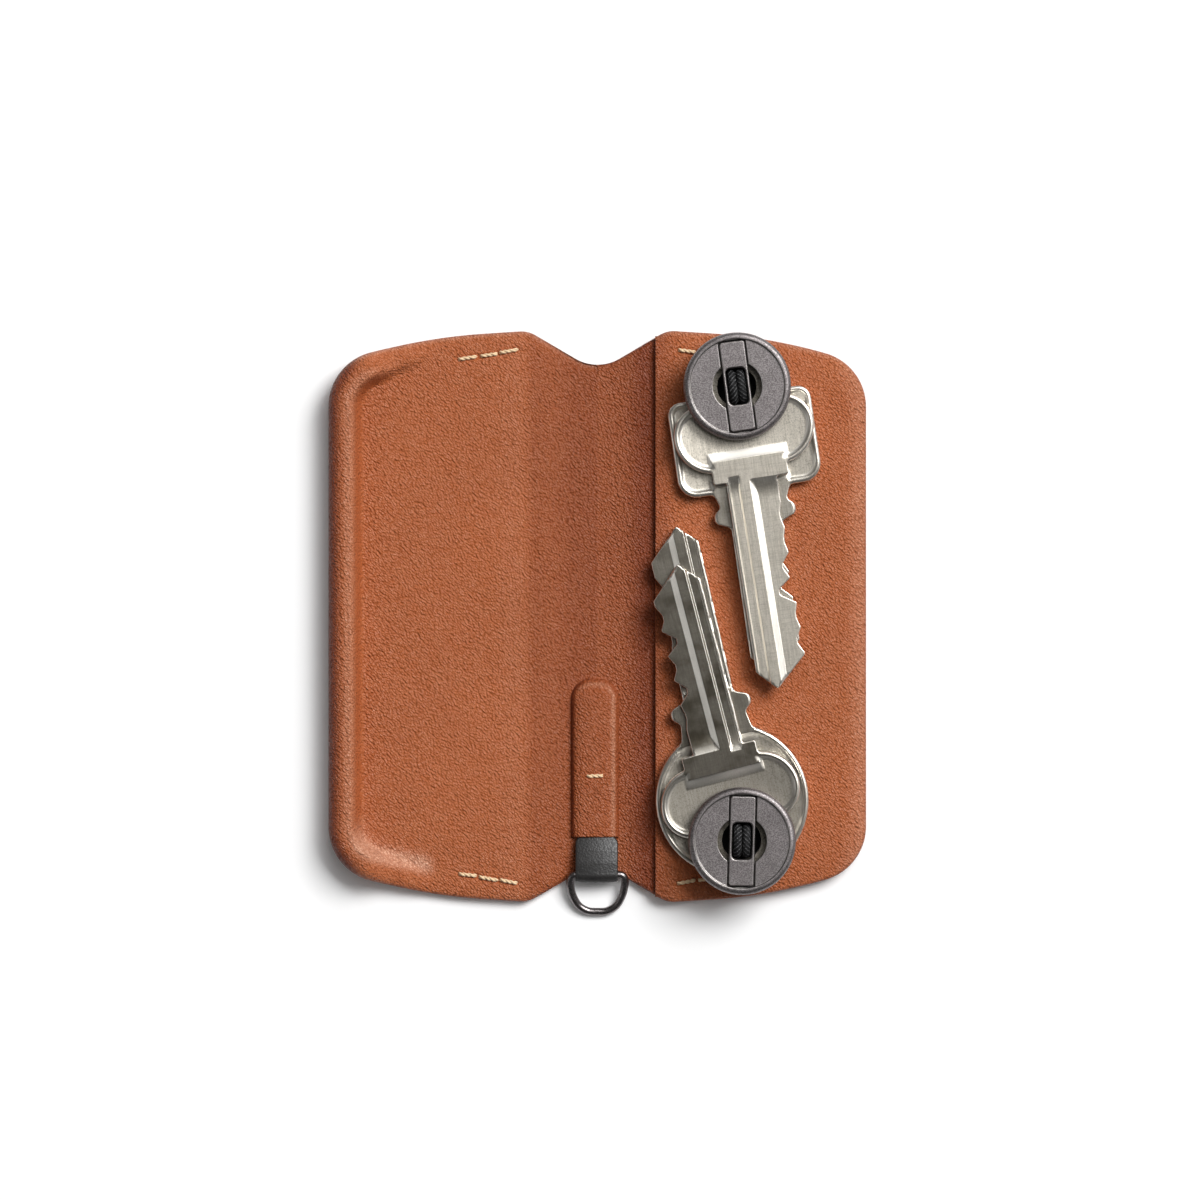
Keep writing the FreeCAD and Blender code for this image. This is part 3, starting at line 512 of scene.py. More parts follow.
def skin_points(path, loop, insets, spacing, extra, holes):
    """Returns the points inside an outline: rings along its free edge, a field, and extra rows."""
    field = field_points(loop, spacing)
    parts = [ring_points(path, inset) for inset in insets]
    parts.append(field[edge_distance(field, path) > max(insets) + spacing * 0.5])
    if len(extra):
        parts = [far_from(part, extra, ROW_CLEARANCE) for part in parts]
        parts.append(np.asarray(extra, float))
    inner = np.vstack(parts)
    inner = inner[lies_inside(inner, loop)]
    inner = inner[edge_distance(inner, np.vstack([loop, loop[:1]])) > min(insets) * 0.5]
    for x, y, radius in holes:
        inner = inner[np.hypot(inner[:, 0] - x, inner[:, 1] - y) > radius + HOLE_CLEARANCE]
    return inner


def make_skin(name, path, rules, insets, spacing, masks, closing=(), extra=(), holes=(), material=leather):
    """Makes a closed piece between two height rules; path is its free edge, closing joins its ends."""
    loop = np.vstack([path, np.array(closing).reshape(-1, 2)])
    plan, faces = triangulated(loop, skin_points(path, loop, insets, spacing, extra, holes), holes)
    used = np.unique(np.array(faces))
    renumber = np.zeros(len(plan), int)
    renumber[used] = np.arange(len(used))
    plan = plan[used]
    count = len(plan)
    distance = edge_distance(plan, path)
    points = np.vstack([np.column_stack([plan, rule(plan, distance)]) for rule in rules])
    upper = [tuple(int(renumber[k]) for k in face) for face in faces]
    upper = [face if signed_area(plan, face) > 0 else face[::-1] for face in upper]
    faces = upper + [tuple(count + k for k in face[::-1]) for face in upper]
    faces += [(b, a, count + a, count + b) for a, b in border_of(upper)]
    marks = {label: np.concatenate([rule(plan, distance)] * 2) for label, rule in masks.items()}
    print(f"{name}: {2 * count} points, {len(faces)} faces")
    return make_object(name, points, faces, material, marks)


# %% [markdown]
# The case has one outline, the same at both ends and mirrored about the spine.
# It dips to a rounded V at the spine, peaks at the shoulders and bows gently to round corners.

# %% The outline of half the case
END_PEAK = 47.65
PEAK_PLACE = SPINE_HALF + 3.6
WAIST_HALF = 40.85
WAIST_RADIUS = 7.3
WAIST_POINTS = 10
SHOULDER_RADIUS = 4.5
EDGE_HALF = 42.0
BOW_RISE = 0.88
BOW_RADIUS = 90.0
CORNER_RADIUS = 9.3
FINE_STEP = 0.45
SEAM_STEP = 1.0


def end_path():
    """Returns the outline from the valley at the spine to the middle of the free edge, at one end."""
    slope = math.atan2(END_PEAK - WAIST_HALF, PEAK_PLACE)
    bottom = WAIST_HALF + WAIST_RADIUS * (1 / math.cos(slope) - 1)
    angles = np.linspace(0, slope, WAIST_POINTS)
    valley = [(WAIST_RADIUS * math.sin(a), bottom + WAIST_RADIUS * (1 - math.cos(a))) for a in angles]
    corners = [
        valley[-1],
        (PEAK_PLACE, END_PEAK, SHOULDER_RADIUS),
        ((PEAK_PLACE + CASE_HALF) / 2, (END_PEAK + EDGE_HALF) / 2 + 2 * BOW_RISE, BOW_RADIUS),
        (CASE_HALF, EDGE_HALF, CORNER_RADIUS),
        (CASE_HALF, 0.0),
    ]
    return divided(np.vstack([valley[:-1], rounded_path(corners, FINE_STEP)]), FINE_STEP)


def half_path(side):
    """Returns the free edge of the left (-1) or right (+1) half, running counter-clockwise."""
    end = end_path()
    whole = np.vstack([end, (end * (1, -1))[::-1][1:]])
    whole = whole * (side, 1) + (SPINE_MIDDLE, 0)
    return whole if side < 0 else whole[::-1]


left_path = half_path(-1)
right_path = half_path(1)
left_seam = closing_points(left_path, SEAM_STEP)
right_seam = closing_points(right_path, SEAM_STEP)
print(f"half outline: {len(left_path)} points, {np.ptp(left_path[:, 1]):.1f} mm long")

# %% [markdown]
# Where the case folds, the leather bends over a few millimetres.
# Rows of points that run along the fold keep that bend smooth, where a plain field would look jagged.

# %% Rows of points along the folds
FOLD_ROWS = 9
FOLD_STEP = 0.8
FRONT_REACH = 3.4
BACK_REACH = 1.5


def fold_points(fold, reach):
    """Returns rows of points along a fold, close enough together for a smooth bend."""
    rows = fold + np.linspace(-reach, reach, FOLD_ROWS)
    return np.array([(x, y) for x in rows for y in np.arange(-END_PEAK, END_PEAK, FOLD_STEP)])


front_rows = fold_points(FRONT_FOLD, FRONT_REACH)
back_rows = fold_points(BACK_FOLD, BACK_REACH)
print(f"{len(front_rows)} points along the front fold")

# %% [markdown]
# Short rows of cream thread hold the layers together at both ends of each panel.
# Each stitch pulls the leather down a little along its length, and most at the two holes it goes into.
# The model's stitches give the places; a small, fixed scatter makes them look sewn.

# %% Where the stitches go
STITCH_SCATTER = (0.16, 0.096)
STITCH_REACH = 1.1
STITCH_SPACING = 0.2
DENT_DEPTH = 0.12
DENT_SIZE = 0.55
HOLE_DEPTH = 0.3
HOLE_SIZE = 0.36
scatter = np.random.RandomState(7)


def stitch_ends(name):
    """Returns the two ends (x, y) of each stitch in a row."""
    corners = np.array([tuple(v.co) for v in nodes[name].data.vertices]) / MM
    places = np.unique(corners[:, 0].round(2))
    ends = [(x, corners[np.abs(corners[:, 0] - x) < 0.02, 1].mean()) for x in places]
    pairs = [np.array(ends[k:k + 2]) for k in range(0, len(ends) - 1, 2)]
    return [pair + scatter.uniform(-1, 1, (2, 2)) * STITCH_SCATTER for pair in pairs]


def stitch_dents(plan, stitches):
    """Returns how far the thread pulls the leather down."""
    dent = np.zeros(len(plan))
    for ends in stitches:
        dent += DENT_DEPTH * np.exp(-(edge_distance(plan, ends) / DENT_SIZE) ** 2)
        for end in ends:
            away = np.linalg.norm(plan - end, axis=1)
            dent += HOLE_DEPTH * np.exp(-(away / HOLE_SIZE) ** 2)
    return dent


def stitch_points(stitches):
    """Returns a close field of points round each stitch."""
    fields = []
    for ends in stitches:
        box = np.array([ends.min(0) - STITCH_REACH, ends.max(0) + STITCH_REACH])
        field = field_points(box, STITCH_SPACING)
        fields.append(field[edge_distance(field, ends) < STITCH_REACH])
    return np.vstack(fields)


stitch_rows = {
    f"{panel}_{end}": stitch_ends(f"{panel}_{end}_stitches")
    for panel in ("front", "back") for end in ("upper", "lower")}
front_stitches = stitch_rows["front_upper"] + stitch_rows["front_lower"]
back_stitches = stitch_rows["back_upper"] + stitch_rows["back_lower"]
print("stitches:", {name: len(row) for name, row in stitch_rows.items()})

# %% [markdown]
# Pressed leather has no sharp steps, so its heights and marks are built from a few soft ones.
# An S-shaped step, a rounded edge and a slow fall are enough for every piece of the case.


# %% Soft steps and rounded edges
def ease(value, low, high):
    """Rises smoothly from 0 at low to 1 at high."""
    share = np.clip((np.asarray(value, float) - low) / (high - low), 0, 1)
    return share * share * (3 - 2 * share)


def fade(value, low, high):
    """Falls smoothly from 1 at low to 0 at high."""
    return 1 - ease(value, low, high)


def band(value, start, full, falling, end):
    """Rises smoothly from start to full, and falls again from falling to end."""
    return ease(value, start, full) * fade(value, falling, end)


def edge_drop(distance, radius):
    """Returns how far a rounded edge has dropped at a distance from the edge."""
    inward = np.clip(radius - distance, 0, radius)
    return radius - np.sqrt(radius * radius - inward * inward)


def soft_fall(distance, fall, reach):
    """Returns how far a panel has curved down towards its edge."""
    return fall * np.clip(1 - distance / reach, 0, 1) ** 2


print("soft steps ready")

# %% [markdown]
# The inside of the front flap is a shallow tray: a flat floor with a padded rim pressed up round its edge.
# The rim's two arms fade out along the ends, and the floor slopes down into the spine.
# A rule for the height at each point, from its distance to the edge, gives all of that in one piece.

# %% The heights of the front flap's inside
SEAT = OUTER_TOP - 0.05
SEAM_ROUND = 0.22
LINING_ROUND = 0.5
RIM_ROUND = 2.3
RIM_WALL = 1.9
RIM_FOOT = 5.7
RIM_FOOT_END = 4.2
RIM_FULL = 38.8
RIM_SLOPE_END = 33.3
RIM_FADE_START = RIM_SLOPE_END + 0.5
RIM_FADE_END = 26.6
RIM_FADE = 0.3
EDGE_FALL = 0.36
EDGE_REACH = 2.2
VALLEY_TOP = SPINE_TOP + 0.06
VALLEY_END = 1.5
FLOOR_BEND = 13.5


def across(plan):
    """Returns each point's distance across the case from the middle of the spine."""
    return np.abs(plan[:, 0] - SPINE_MIDDLE)


def rim_share(plan):
    """Returns how much of its full height the rim has at each place along the case's width."""
    steep = ease(across(plan), RIM_SLOPE_END, RIM_FULL)
    low = ease(across(plan), RIM_FADE_END, RIM_FADE_START)
    return (1 - RIM_FADE) * steep + RIM_FADE * low


def rim_profile(plan, distance):
    """Returns the rim's height at a distance from the edge, as a share of its full height."""
    foot = RIM_FOOT_END + (RIM_FOOT - RIM_FOOT_END) * ease(across(plan), RIM_FADE_END, RIM_FULL)
    inner = ease(foot - distance, 0.0, RIM_WALL)
    outer = 1 - edge_drop(distance, RIM_ROUND) / (RIM_TOP - FLOOR_TOP)
    return inner * outer


def front_floor(plan):
    """Returns the height of the front flap's floor, which slopes down into the spine."""
    return VALLEY_TOP + (FLOOR_TOP - VALLEY_TOP) * ease(across(plan), VALLEY_END, FLOOR_BEND)


def front_top(plan, distance):
    """Returns the height of the front flap's inside."""
    share = rim_share(plan)
    rim = share * (RIM_TOP - FLOOR_TOP) * rim_profile(plan, distance)
    edge = (1 - share) * (edge_drop(distance, LINING_ROUND) + soft_fall(distance, EDGE_FALL, EDGE_REACH))
    return front_floor(plan) + rim - edge - stitch_dents(plan, front_stitches)


def lining_bottom(plan, distance):
    """Returns the height of a lining's underside, with a small rounded edge."""
    return SEAT + edge_drop(distance, SEAM_ROUND)


print(f"rim stands {RIM_TOP - FLOOR_TOP:.2f} mm above the floor")

# %% [markdown]
# Painted shade darkens the spine's valley and the rim's outer side, painted highlights lighten the ridges,
# corner and edges, and pressing darkens the foot of the rim.
# Each of these is a mark from 0 to 1 at every point, worked out from where the point lies.
# A band rises over its first two numbers and falls over its last two.

# %% Mark the front flap's burnish, pressing, painted shade and painted highlights, and make it
FLAP_SPACING = 0.9
RIM_INSETS = (
    0.06, 0.16, 0.32, 0.55, 0.85, 1.2, 1.6, 2.0, 2.4, 2.9, 3.4, 3.8,
    4.1, 4.4, 4.7, 5.0, 5.3, 5.6, 5.9, 6.3)
FOOT_BAND = (RIM_FOOT - 1.3, RIM_FOOT - 0.9, RIM_FOOT - 0.6, RIM_FOOT)
RIDGE_BAND = (2.3, 3.2, 4.1, 4.8)
CORNER_BAND = (2.4, 4.2, RIM_FOOT - 0.8, RIM_FOOT + 1.2)
BEND_BAND = (11.0, 13.6, 13.6, 18.0)


def towards_end(along, low, high):
    """Rises towards one end of the case, between two shares of its half length."""
    return ease(along, low * EDGE_HALF, high * EDGE_HALF)


def edge_mask(plan, distance):
    """Marks the burnished strip along a cut edge."""
    return fade(distance, 0.1, 0.5)


def pressed_mask(plan, distance):
    """Marks the foot of the rim's inner wall, where the leather is pressed hardest."""
    return rim_share(plan) * band(distance, *FOOT_BAND) * (1 - towards_end(-plan[:, 1], 0.7, 0.85))


def pale_edge(plan, distance):
    """Marks the thin strip of the upper edges that catches the light."""
    return towards_end(plan[:, 1], 0.85, 0.97) * fade(distance, 0.2, 0.9)


def painted_highlight_mask(plan, distance):
    """Marks the painted highlights: the rim's ridge and lower corner, the bend into the spine, the upper
    edge.
    """
    ridge = band(distance, *RIDGE_BAND) * rim_share(plan)
    corner = towards_end(-plan[:, 1], 0.77, 0.92) * ease(across(plan), RIM_FADE_END, RIM_FADE_END + 2.5)
    corner = corner * band(distance, *CORNER_BAND)
    bend = band(across(plan), *BEND_BAND)
    return np.max([0.34 * ridge, corner, 0.07 * bend, 0.5 * pale_edge(plan, distance)], axis=0)


def spine_mask(plan, distance):
    """Marks the painted shade on the spine's valley and on the rim's outer side."""
    valley = 0.34 * fade(across(plan), 10.4, 12.6) + 0.2 * fade(across(plan), 3.0, 8.5)
    outside = ease(across(plan), CASE_HALF - 6.0, CASE_HALF - 3.0) * fade(distance, 0.5, 3.0)
    return valley + outside


front_masks = {"edge": edge_mask, "pressed": pressed_mask, "shaded": spine_mask, "painted_sheen_and_wear": painted_highlight_mask}
front_inside = make_skin(
    "front_inside", left_path, (front_top, lining_bottom), RIM_INSETS, FLAP_SPACING, front_masks,
    left_seam, np.vstack([front_rows, stitch_points(front_stitches)]))

# %% [markdown]
# The spine's inner layer carries on under the back panel's overlay.
# It is a piece of its own, because the case folds twice, and a mesh can bend across only one joint.
# The two pieces meet in the middle of the spine, where neither bends.

# %% The spine's inside and the layer under the overlay
OVERLAY_EDGE = node_box("back_lining")[0][0] - SPINE_MIDDLE
LAYER_TOP = OVERLAY_TOP - 1.25
CORD_HOLE = 3.6
SPINE_SPACING = 1.1
THIN_INSETS = (0.06, 0.16, 0.32, 0.55, 1.0, 1.8)
POSTS = ("upper", "lower")


def spine_floor(plan):
    """Returns the height of the spine's right half, which rises to meet the overlay."""
    return VALLEY_TOP + (LAYER_TOP - VALLEY_TOP) * ease(across(plan), 0.5, OVERLAY_EDGE + 0.3)


def spine_top(plan, distance):
    """Returns the height of the spine's right half with its rounded edge."""
    under = ease(across(plan), OVERLAY_EDGE, OVERLAY_EDGE + 0.4)
    return spine_floor(plan) - edge_drop(distance, LINING_ROUND - 0.28 * under)


def right_spine_mask(plan, distance):
    """Marks the painted shade on the right half of the spine, darkest beside the overlay."""
    return 0.42 + 0.42 * ease(across(plan), 3.4, 8.2)


cord_holes = [(*(sum(node_box(f"{end}_cap")) / 2)[:2], CORD_HOLE) for end in POSTS]
spine_masks = {"edge": edge_mask, "shaded": right_spine_mask}
spine_inside = make_skin(
    "spine_inside", right_path, (spine_top, lining_bottom), THIN_INSETS, SPINE_SPACING, spine_masks,
    right_seam, back_rows, cord_holes)

# %% [markdown]
# The back panel's overlay is a thicker cut of leather, laid on with a straight cut edge beside the spine.
# Two round holes let the key posts' elastic through.

# %% The back panel's overlay
CUT_ROUND = 0.18
CUT_STEP = 0.8
CUT_GAP = 0.03
CUT_CLEARANCE = 0.05
LAYER_GAP = 0.02
CUT_INSETS = (0.05, 0.1, 0.2, 0.4)
BACK_ROUND = 0.4
BACK_FALL = 0.5
BACK_SLOPE = 3.8
BACK_SPACING = 1.2
BACK_INSETS = THIN_INSETS + (2.5, 3.2, 3.8, 4.4)


def from_cut(plan):
    """Returns each point's distance from the overlay's straight cut."""
    return across(plan) - OVERLAY_EDGE


def cut_points(path):
    """Returns the points of the straight cut, from its upper to its lower end."""
    place = SPINE_MIDDLE + OVERLAY_EDGE
    return divided(np.array([(place, path[-1][1] - CUT_GAP), (place, path[0][1] + CUT_GAP)]), CUT_STEP)


def overlay_top(plan, distance):
    """Returns the height of the overlay's upper face, rounded at its edge and crisper at its cut."""
    edges = edge_drop(distance, BACK_ROUND) + edge_drop(from_cut(plan), CUT_ROUND)
    edges = edges + soft_fall(distance, BACK_FALL, BACK_SLOPE)
    return OVERLAY_TOP - edges - stitch_dents(plan, back_stitches)


def overlay_bottom(plan, distance):
    """Returns the height of the overlay's underside."""
    return LAYER_TOP - LAYER_GAP + edge_drop(distance, SEAM_ROUND)


def overlay_edge_mask(plan, distance):
    """Marks the burnished strips along the overlay's edge and its cut."""
    return np.maximum(edge_mask(plan, distance), 0.6 * fade(from_cut(plan), 0.02, 0.3))


def overlay_painted_sheen(plan, distance):
    """Marks the painted sheen on the overlay's outer edge and upper edges."""
    outer = ease(across(plan), CASE_HALF - 6.0, CASE_HALF - 2.0) * fade(distance, 0.4, 4.0)
    return np.maximum(0.35 * outer, 0.4 * pale_edge(plan, distance))


def overlay_shade(plan, distance):
    """Marks the painted shade on the strip beside the cut."""
    return 0.42 * fade(from_cut(plan), 0.3, 4.5)


overlay_edge = right_path[right_path[:, 0] - SPINE_MIDDLE > OVERLAY_EDGE + CUT_CLEARANCE]
overlay_cut = cut_points(overlay_edge)
cut_rings = np.vstack([overlay_cut[1:-1] + (inset, 0) for inset in CUT_INSETS])
overlay_masks = {"edge": overlay_edge_mask, "painted_sheen_and_wear": overlay_painted_sheen, "shaded": overlay_shade}
back_overlay = make_skin(
    "back_overlay", overlay_edge, (overlay_top, overlay_bottom), BACK_INSETS, BACK_SPACING, overlay_masks,
    overlay_cut, np.vstack([cut_rings, stitch_points(back_stitches)]), cord_holes)

# %% [markdown]
# The outside of the case is one more layer of the same leather, which lies on the table.
# Like the inside it is made in two halves that meet in the middle of the spine.

# %% The outer leather
TABLE_GAP = 0.02
OUTER_ROUND = 0.45
OUTER_SPACING = 1.4
OUTER_GAP = 0.01


def outer_top(plan, distance):
    """Returns the height of the outer leather's inner face."""
    return SEAT - OUTER_GAP - edge_drop(distance, SEAM_ROUND)


def outer_bottom(plan, distance):
    """Returns the height of the face that lies on the table."""
    return TABLE_GAP + edge_drop(distance, OUTER_ROUND)


def make_outside(name, path, seam, rows):
    """Makes one half of the outer leather."""
    rules = (outer_top, outer_bottom)
    return make_skin(name, path, rules, THIN_INSETS, OUTER_SPACING, {"edge": edge_mask}, seam, rows)


front_outside = make_outside("front_outside", left_path, left_seam, front_rows)
back_outside = make_outside("back_outside", right_path, right_seam, back_rows)

# %% [markdown]
# Leather that crosses a fold is put where it lies, and the model's pieces that it stands for are hidden.
# A piece that lies on one panel only rides on it.


# %% Put the leather in place of the model's pieces
def settle(piece, body, replaced):
    """Lets a piece ride on a body, in place of a node of the model."""
    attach(piece, body)
    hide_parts(replaced)


def bend(piece, bodies, fold, reach, replaced, slot):
    """Bakes a piece's place into its points and hides the model's nodes that it replaces."""
    start = ((fold - reach) * MM, 0, 0)
    end = ((fold + reach) * MM, 0, 0)
    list(bodies)
    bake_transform(piece)
    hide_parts(*replaced)


front_bend = (("front", "spine"), FRONT_FOLD, FRONT_REACH)
back_bend = (("spine", "back"), BACK_FOLD, BACK_REACH)
bend(front_inside, *front_bend, ["front_lining", "front_rim"], "lining_leather")
bend(front_outside, *front_bend, ["front_outer_leather"], "outer_leather")
bend(spine_inside, *back_bend, ["spine_lining"], "lining_leather")
bend(back_outside, *back_bend, ["spine_outer_leather", "back_outer_leather"], "outer_leather")
settle(back_overlay, "back", "back_lining")
print("leather bends at", FRONT_FOLD, BACK_FOLD)

# %% [markdown]
# Threads, the strap, the ring and the elastic are long and thin, so one helper sweeps a section along a path.
# The section's first direction stays as close as it can to a given one, so that a strap doesn't twist.


# %% Sweep a section along a path
def sweep(path, section, across_path, closed=False):
    """Returns the points and faces of a section (u, v) carried along a path, or round a loop."""
    path, section = np.asarray(path, float), np.asarray(section, float)
    run = np.roll(path, -1, 0) - np.roll(path, 1, 0) if closed else np.gradient(path, axis=0)
    run /= np.linalg.norm(run, axis=1)[:, None]
    side = np.asarray(across_path, float) - (run @ np.asarray(across_path, float))[:, None] * run
    side /= np.linalg.norm(side, axis=1)[:, None]
    normal = np.cross(run, side)
    if section.ndim == 2:
        section = np.repeat(section[None], len(path), axis=0)
    points = path[:, None] + section[:, :, :1] * side[:, None] + section[:, :, 1:] * normal[:, None]
    count, around = section.shape[:2]
    faces = []
    for k in range(count if closed else count - 1):
        here, there = k * around, (k + 1) % count * around
        for j in range(around):
            beside = (j + 1) % around
            faces.append((here + j, here + beside, there + beside, there + j))
    if not closed:
        faces.append(tuple(range(around))[::-1])
        faces.append(tuple(range((count - 1) * around, count * around)))
    return points.reshape(-1, 3), faces


def joined(parts):
    """Joins several point and face lists into one."""
    points, faces = [], []
    for part_points, part_faces in parts:
        start = sum(len(p) for p in points)
        points.append(part_points)
        faces += [tuple(start + k for k in face) for face in part_faces]
    return np.vstack(points), faces


print("sweeps ready")

# %% [markdown]
# The sewing thread is two plies of waxed cream polyester, twisted round each other.
# Each stitch comes up through one hole, lies on the leather and goes down the other.

# %% Sew the stitches
PLY_RADIUS = 0.2
PLY_OFFSET = 0.13
PLY_SIDES = 8
PLY_STEPS = 34
TWIST_LENGTH = 1.7
DIVE_REACH = 0.42
DIVE_DEPTH = 1.5
THREAD_LIFT = 0.12
CREAM = paint(246, 220, 182)
CREAM_DEEP = paint(206, 162, 116)


def make_thread_material():
    """Makes the waxed cream thread, with fine fibres and a little dirt."""
    material, shader, at = start_material("cream_thread", specular_ior_level=0.3)
    rest = attribute(at, "rest", "Vector")
    fibres = (rest * (1.0, 4.0, 2.0)).noise(0.25, 3.0)
    dirt = rest.noise(0.9, 2.0).ease(0.45, 0.75)
    colour = layered(CREAM, [(fibres.ease(0.3, 0.7) * 0.45, CREAM_DEEP), (dirt * 0.4, CREAM_DEEP)])
    return finish_material(material, shader, colour, 0.55 + fibres * 0.2, fibres, 0.05)


def stitch_plies(ends, height):
    """Returns the two twisted plies of one stitch that lies at a height."""
    start, end = ends
    length = np.linalg.norm(end - start)
    share = np.linspace(0, 1, PLY_STEPS)
    dive = edge_drop(np.minimum(share, 1 - share) * length, DIVE_REACH) * DIVE_DEPTH
    middle = np.column_stack([start + share[:, None] * (end - start), height - dive])
    along = (end - start) / length
    side = np.array([-along[1], along[0], 0])
    section = circle_points(0, 0, PLY_RADIUS, PLY_SIDES)
    plies = []
    for turn in (0, math.pi):
        angle = turn + 2 * math.pi * share * length / TWIST_LENGTH
        path = middle + PLY_OFFSET * (np.cos(angle)[:, None] * side + np.sin(angle)[:, None] * (0, 0, 1))
        plies.append(sweep(path, section, side))
    return plies


thread = make_thread_material()
for row_name, row in stitch_rows.items():
    panel = row_name.split("_")[0]
    level = FLOOR_TOP if panel == "front" else OVERLAY_TOP
    plies = [ply for ends in row for ply in stitch_plies(ends, level + THREAD_LIFT)]
    sewn = make_object(f"{row_name}_thread", *joined(plies), thread)
    settle(sewn, panel, f"{row_name}_stitches")
print("rows of thread:", len(stitch_rows))

# %% [markdown]
# The tab is a narrow leather sleeve with glued sides, so it swells out of the spine without an edge.
# Only its lower end is cut open, where a dark strap comes out.

# %% The leather sleeve on the spine
SLEEVE_SHIFT = -0.42
SLEEVE_RADIUS = 3.2
SLEEVE_STEP = 0.4
SLEEVE_SPACING = 0.7
SLEEVE_INSETS = (0.15, 0.3, 0.5, 0.7, 0.9, 1.15, 1.4, 1.7, 2.0, 2.4)
MOUTH_INSETS = (0.08, 0.2, 0.35)
MOUTH_ROUND = 0.3
SLEEVE_SINK = 0.04
SKIRT = 0.32
TOP_FADE = 4.0
SIDE_STEP = 0.2
SIDE_FALL = 2.1
TOP_FALL = 1.2
CROWN_RISE = 0.15
sleeve_low, sleeve_high = node_box("tab_sleeve")


def sleeve_path():
    """Returns the sleeve's glued edge, from its lower right corner round its top to its lower left one."""
    left, right = sleeve_low[0] + SLEEVE_SHIFT - SKIRT, sleeve_high[0] + SLEEVE_SHIFT + SKIRT
    top, radius = sleeve_high[1] + SKIRT, SLEEVE_RADIUS + SKIRT
    corners = [(right, sleeve_low[1]), (right, top, radius), (left, top, radius), (left, sleeve_low[1])]
    return divided(rounded_path(corners, SLEEVE_STEP), SLEEVE_STEP)


def sleeve_base(plan):
    """Returns the height of the spine's inside on both sides of its middle."""
    return np.where(plan[:, 0] < SPINE_MIDDLE, front_floor(plan), spine_floor(plan))


def sleeve_top(plan, distance):
    """Returns the height of the sleeve, which swells out of the spine and is cut off at its lower end."""
    soft = ease(plan[:, 1], sleeve_high[1] - TOP_FADE, sleeve_high[1])
    step = SIDE_STEP * (1 - 0.8 * soft)
    fall = SIDE_FALL + TOP_FALL * soft
    swell = step * ease(distance, 0.0, 0.6) + (1 - step) * (1 - edge_drop(distance - 0.1, fall) / fall)
    crown = CROWN_RISE * ease(distance, 0.8, 4.0)
    level = sleeve_base(plan) - SLEEVE_SINK
    cut = edge_drop(plan[:, 1] - sleeve_low[1], MOUTH_ROUND) * swell
    return level + swell * (sleeve_high[2] - level) + crown - cut


def sleeve_bottom(plan, distance):
    """Returns the height of the sleeve's underside, sunk in the spine's inner layer."""
    return np.full(len(plan), SEAT + SLEEVE_SINK)


print(f"sleeve: {sleeve_high[1] - sleeve_low[1]:.1f} mm long")

# %% [markdown]
# The sleeve gets painted shade, deepest in the creases along its sides and on its left, and its cut end is
# burnished.
# Its right side and its top get a painted highlight.


# %% Mark the sleeve's burnish, painted shade and painted highlight, and make it
def sleeve_shade(plan, distance):
    """Marks the painted shade on the sleeve, deepest in the creases along its sides and on its left."""
    crease = fade(distance, 0.25, 0.95)
    left = fade(plan[:, 0] - SPINE_MIDDLE, -3.0, -1.5)
    return 0.36 + 0.2 * crease + 0.35 * crease * left


def sleeve_cut_mask(plan, distance):
    """Marks the sleeve's cut lower end."""
    return 0.8 * fade(plan[:, 1] - sleeve_low[1], 0.05, 0.35)


def sleeve_painted_highlight(plan, distance):
    """Marks the painted highlight on the sleeve's right side and top."""
    right = 0.7 * ease(plan[:, 0] - SPINE_MIDDLE, 0.5, 2.5)
    top = ease(plan[:, 1], sleeve_high[1] - 3.0, sleeve_high[1])
    return band(distance, 0.5, 0.9, 0.9, 1.8) * np.maximum(right, 0.6 * top)


sleeve_edge = sleeve_path()
sleeve_mouth = closing_points(sleeve_edge, SLEEVE_STEP)
mouth_rings = np.vstack([sleeve_mouth + (0, inset) for inset in MOUTH_INSETS])
sleeve_masks = {"edge": sleeve_cut_mask, "shaded": sleeve_shade, "painted_sheen_and_wear": sleeve_painted_highlight}
sleeve = make_skin(
    "sleeve", sleeve_edge, (sleeve_top, sleeve_bottom), SLEEVE_INSETS, SLEEVE_SPACING, sleeve_masks,
    sleeve_mouth, mouth_rings)
settle(sleeve, "spine", "tab_sleeve")

# %% [markdown]
# One slanted stitch of the same thread holds the strap in the sleeve.

# %% The stitch on the tab
TAB_LIFT = 0.14
TAB_INSET = 0.05
tab_low, tab_high = node_box("tab_stitch")
tab_start = (tab_low[0] + TAB_INSET + SLEEVE_SHIFT, (tab_low[1] + tab_high[1]) / 2 - 0.1)
tab_end = (tab_high[0] - TAB_INSET + SLEEVE_SHIFT, tab_high[1] - 0.3)
tab_plies = stitch_plies(np.array([tab_start, tab_end]), sleeve_high[2] + TAB_LIFT)
tab_thread = make_object("tab_thread", *joined(tab_plies), thread)
settle(tab_thread, "spine", "tab_stitch")
print(f"tab stitch: {tab_end[0] - tab_start[0]:.1f} mm")

# %% [markdown]
# The strap is a close, dark weave with a slight shine.
# Small cells give the weave's grain, and two noises darken it in patches, as dust and rubbing do.

# %% The strap's finish
STRAP_GREY = paint(52, 50, 49)
STRAP_DARK = paint(20, 20, 20)


def make_strap_material():
    """Makes the dark strap: close, fine grained and a little shiny, with darker patches."""
    material, shader, at = start_material("dark_strap", specular_ior_level=0.5)
    rest = attribute(at, "rest", "Vector")
    grain = rest.cells(0.3, "SMOOTH_F1").ease(0.1, 0.75)
    fuzz = rest.noise(0.2, 3.0, 0.6)
    painted_sheen_and_wear = rest.noise(2.2, 3.0).ease(0.35, 0.7)
    colour = layered(STRAP_GREY, [
        (grain * 0.5, STRAP_DARK),
        (fuzz.ease(0.4, 0.7) * 0.3, STRAP_DARK),
        (painted_sheen_and_wear * 0.35, STRAP_DARK),
    ])
    return finish_material(material, shader, colour, 0.34 + grain * 0.14, fuzz * 0.8 - grain, 0.018)


strap_material = make_strap_material()

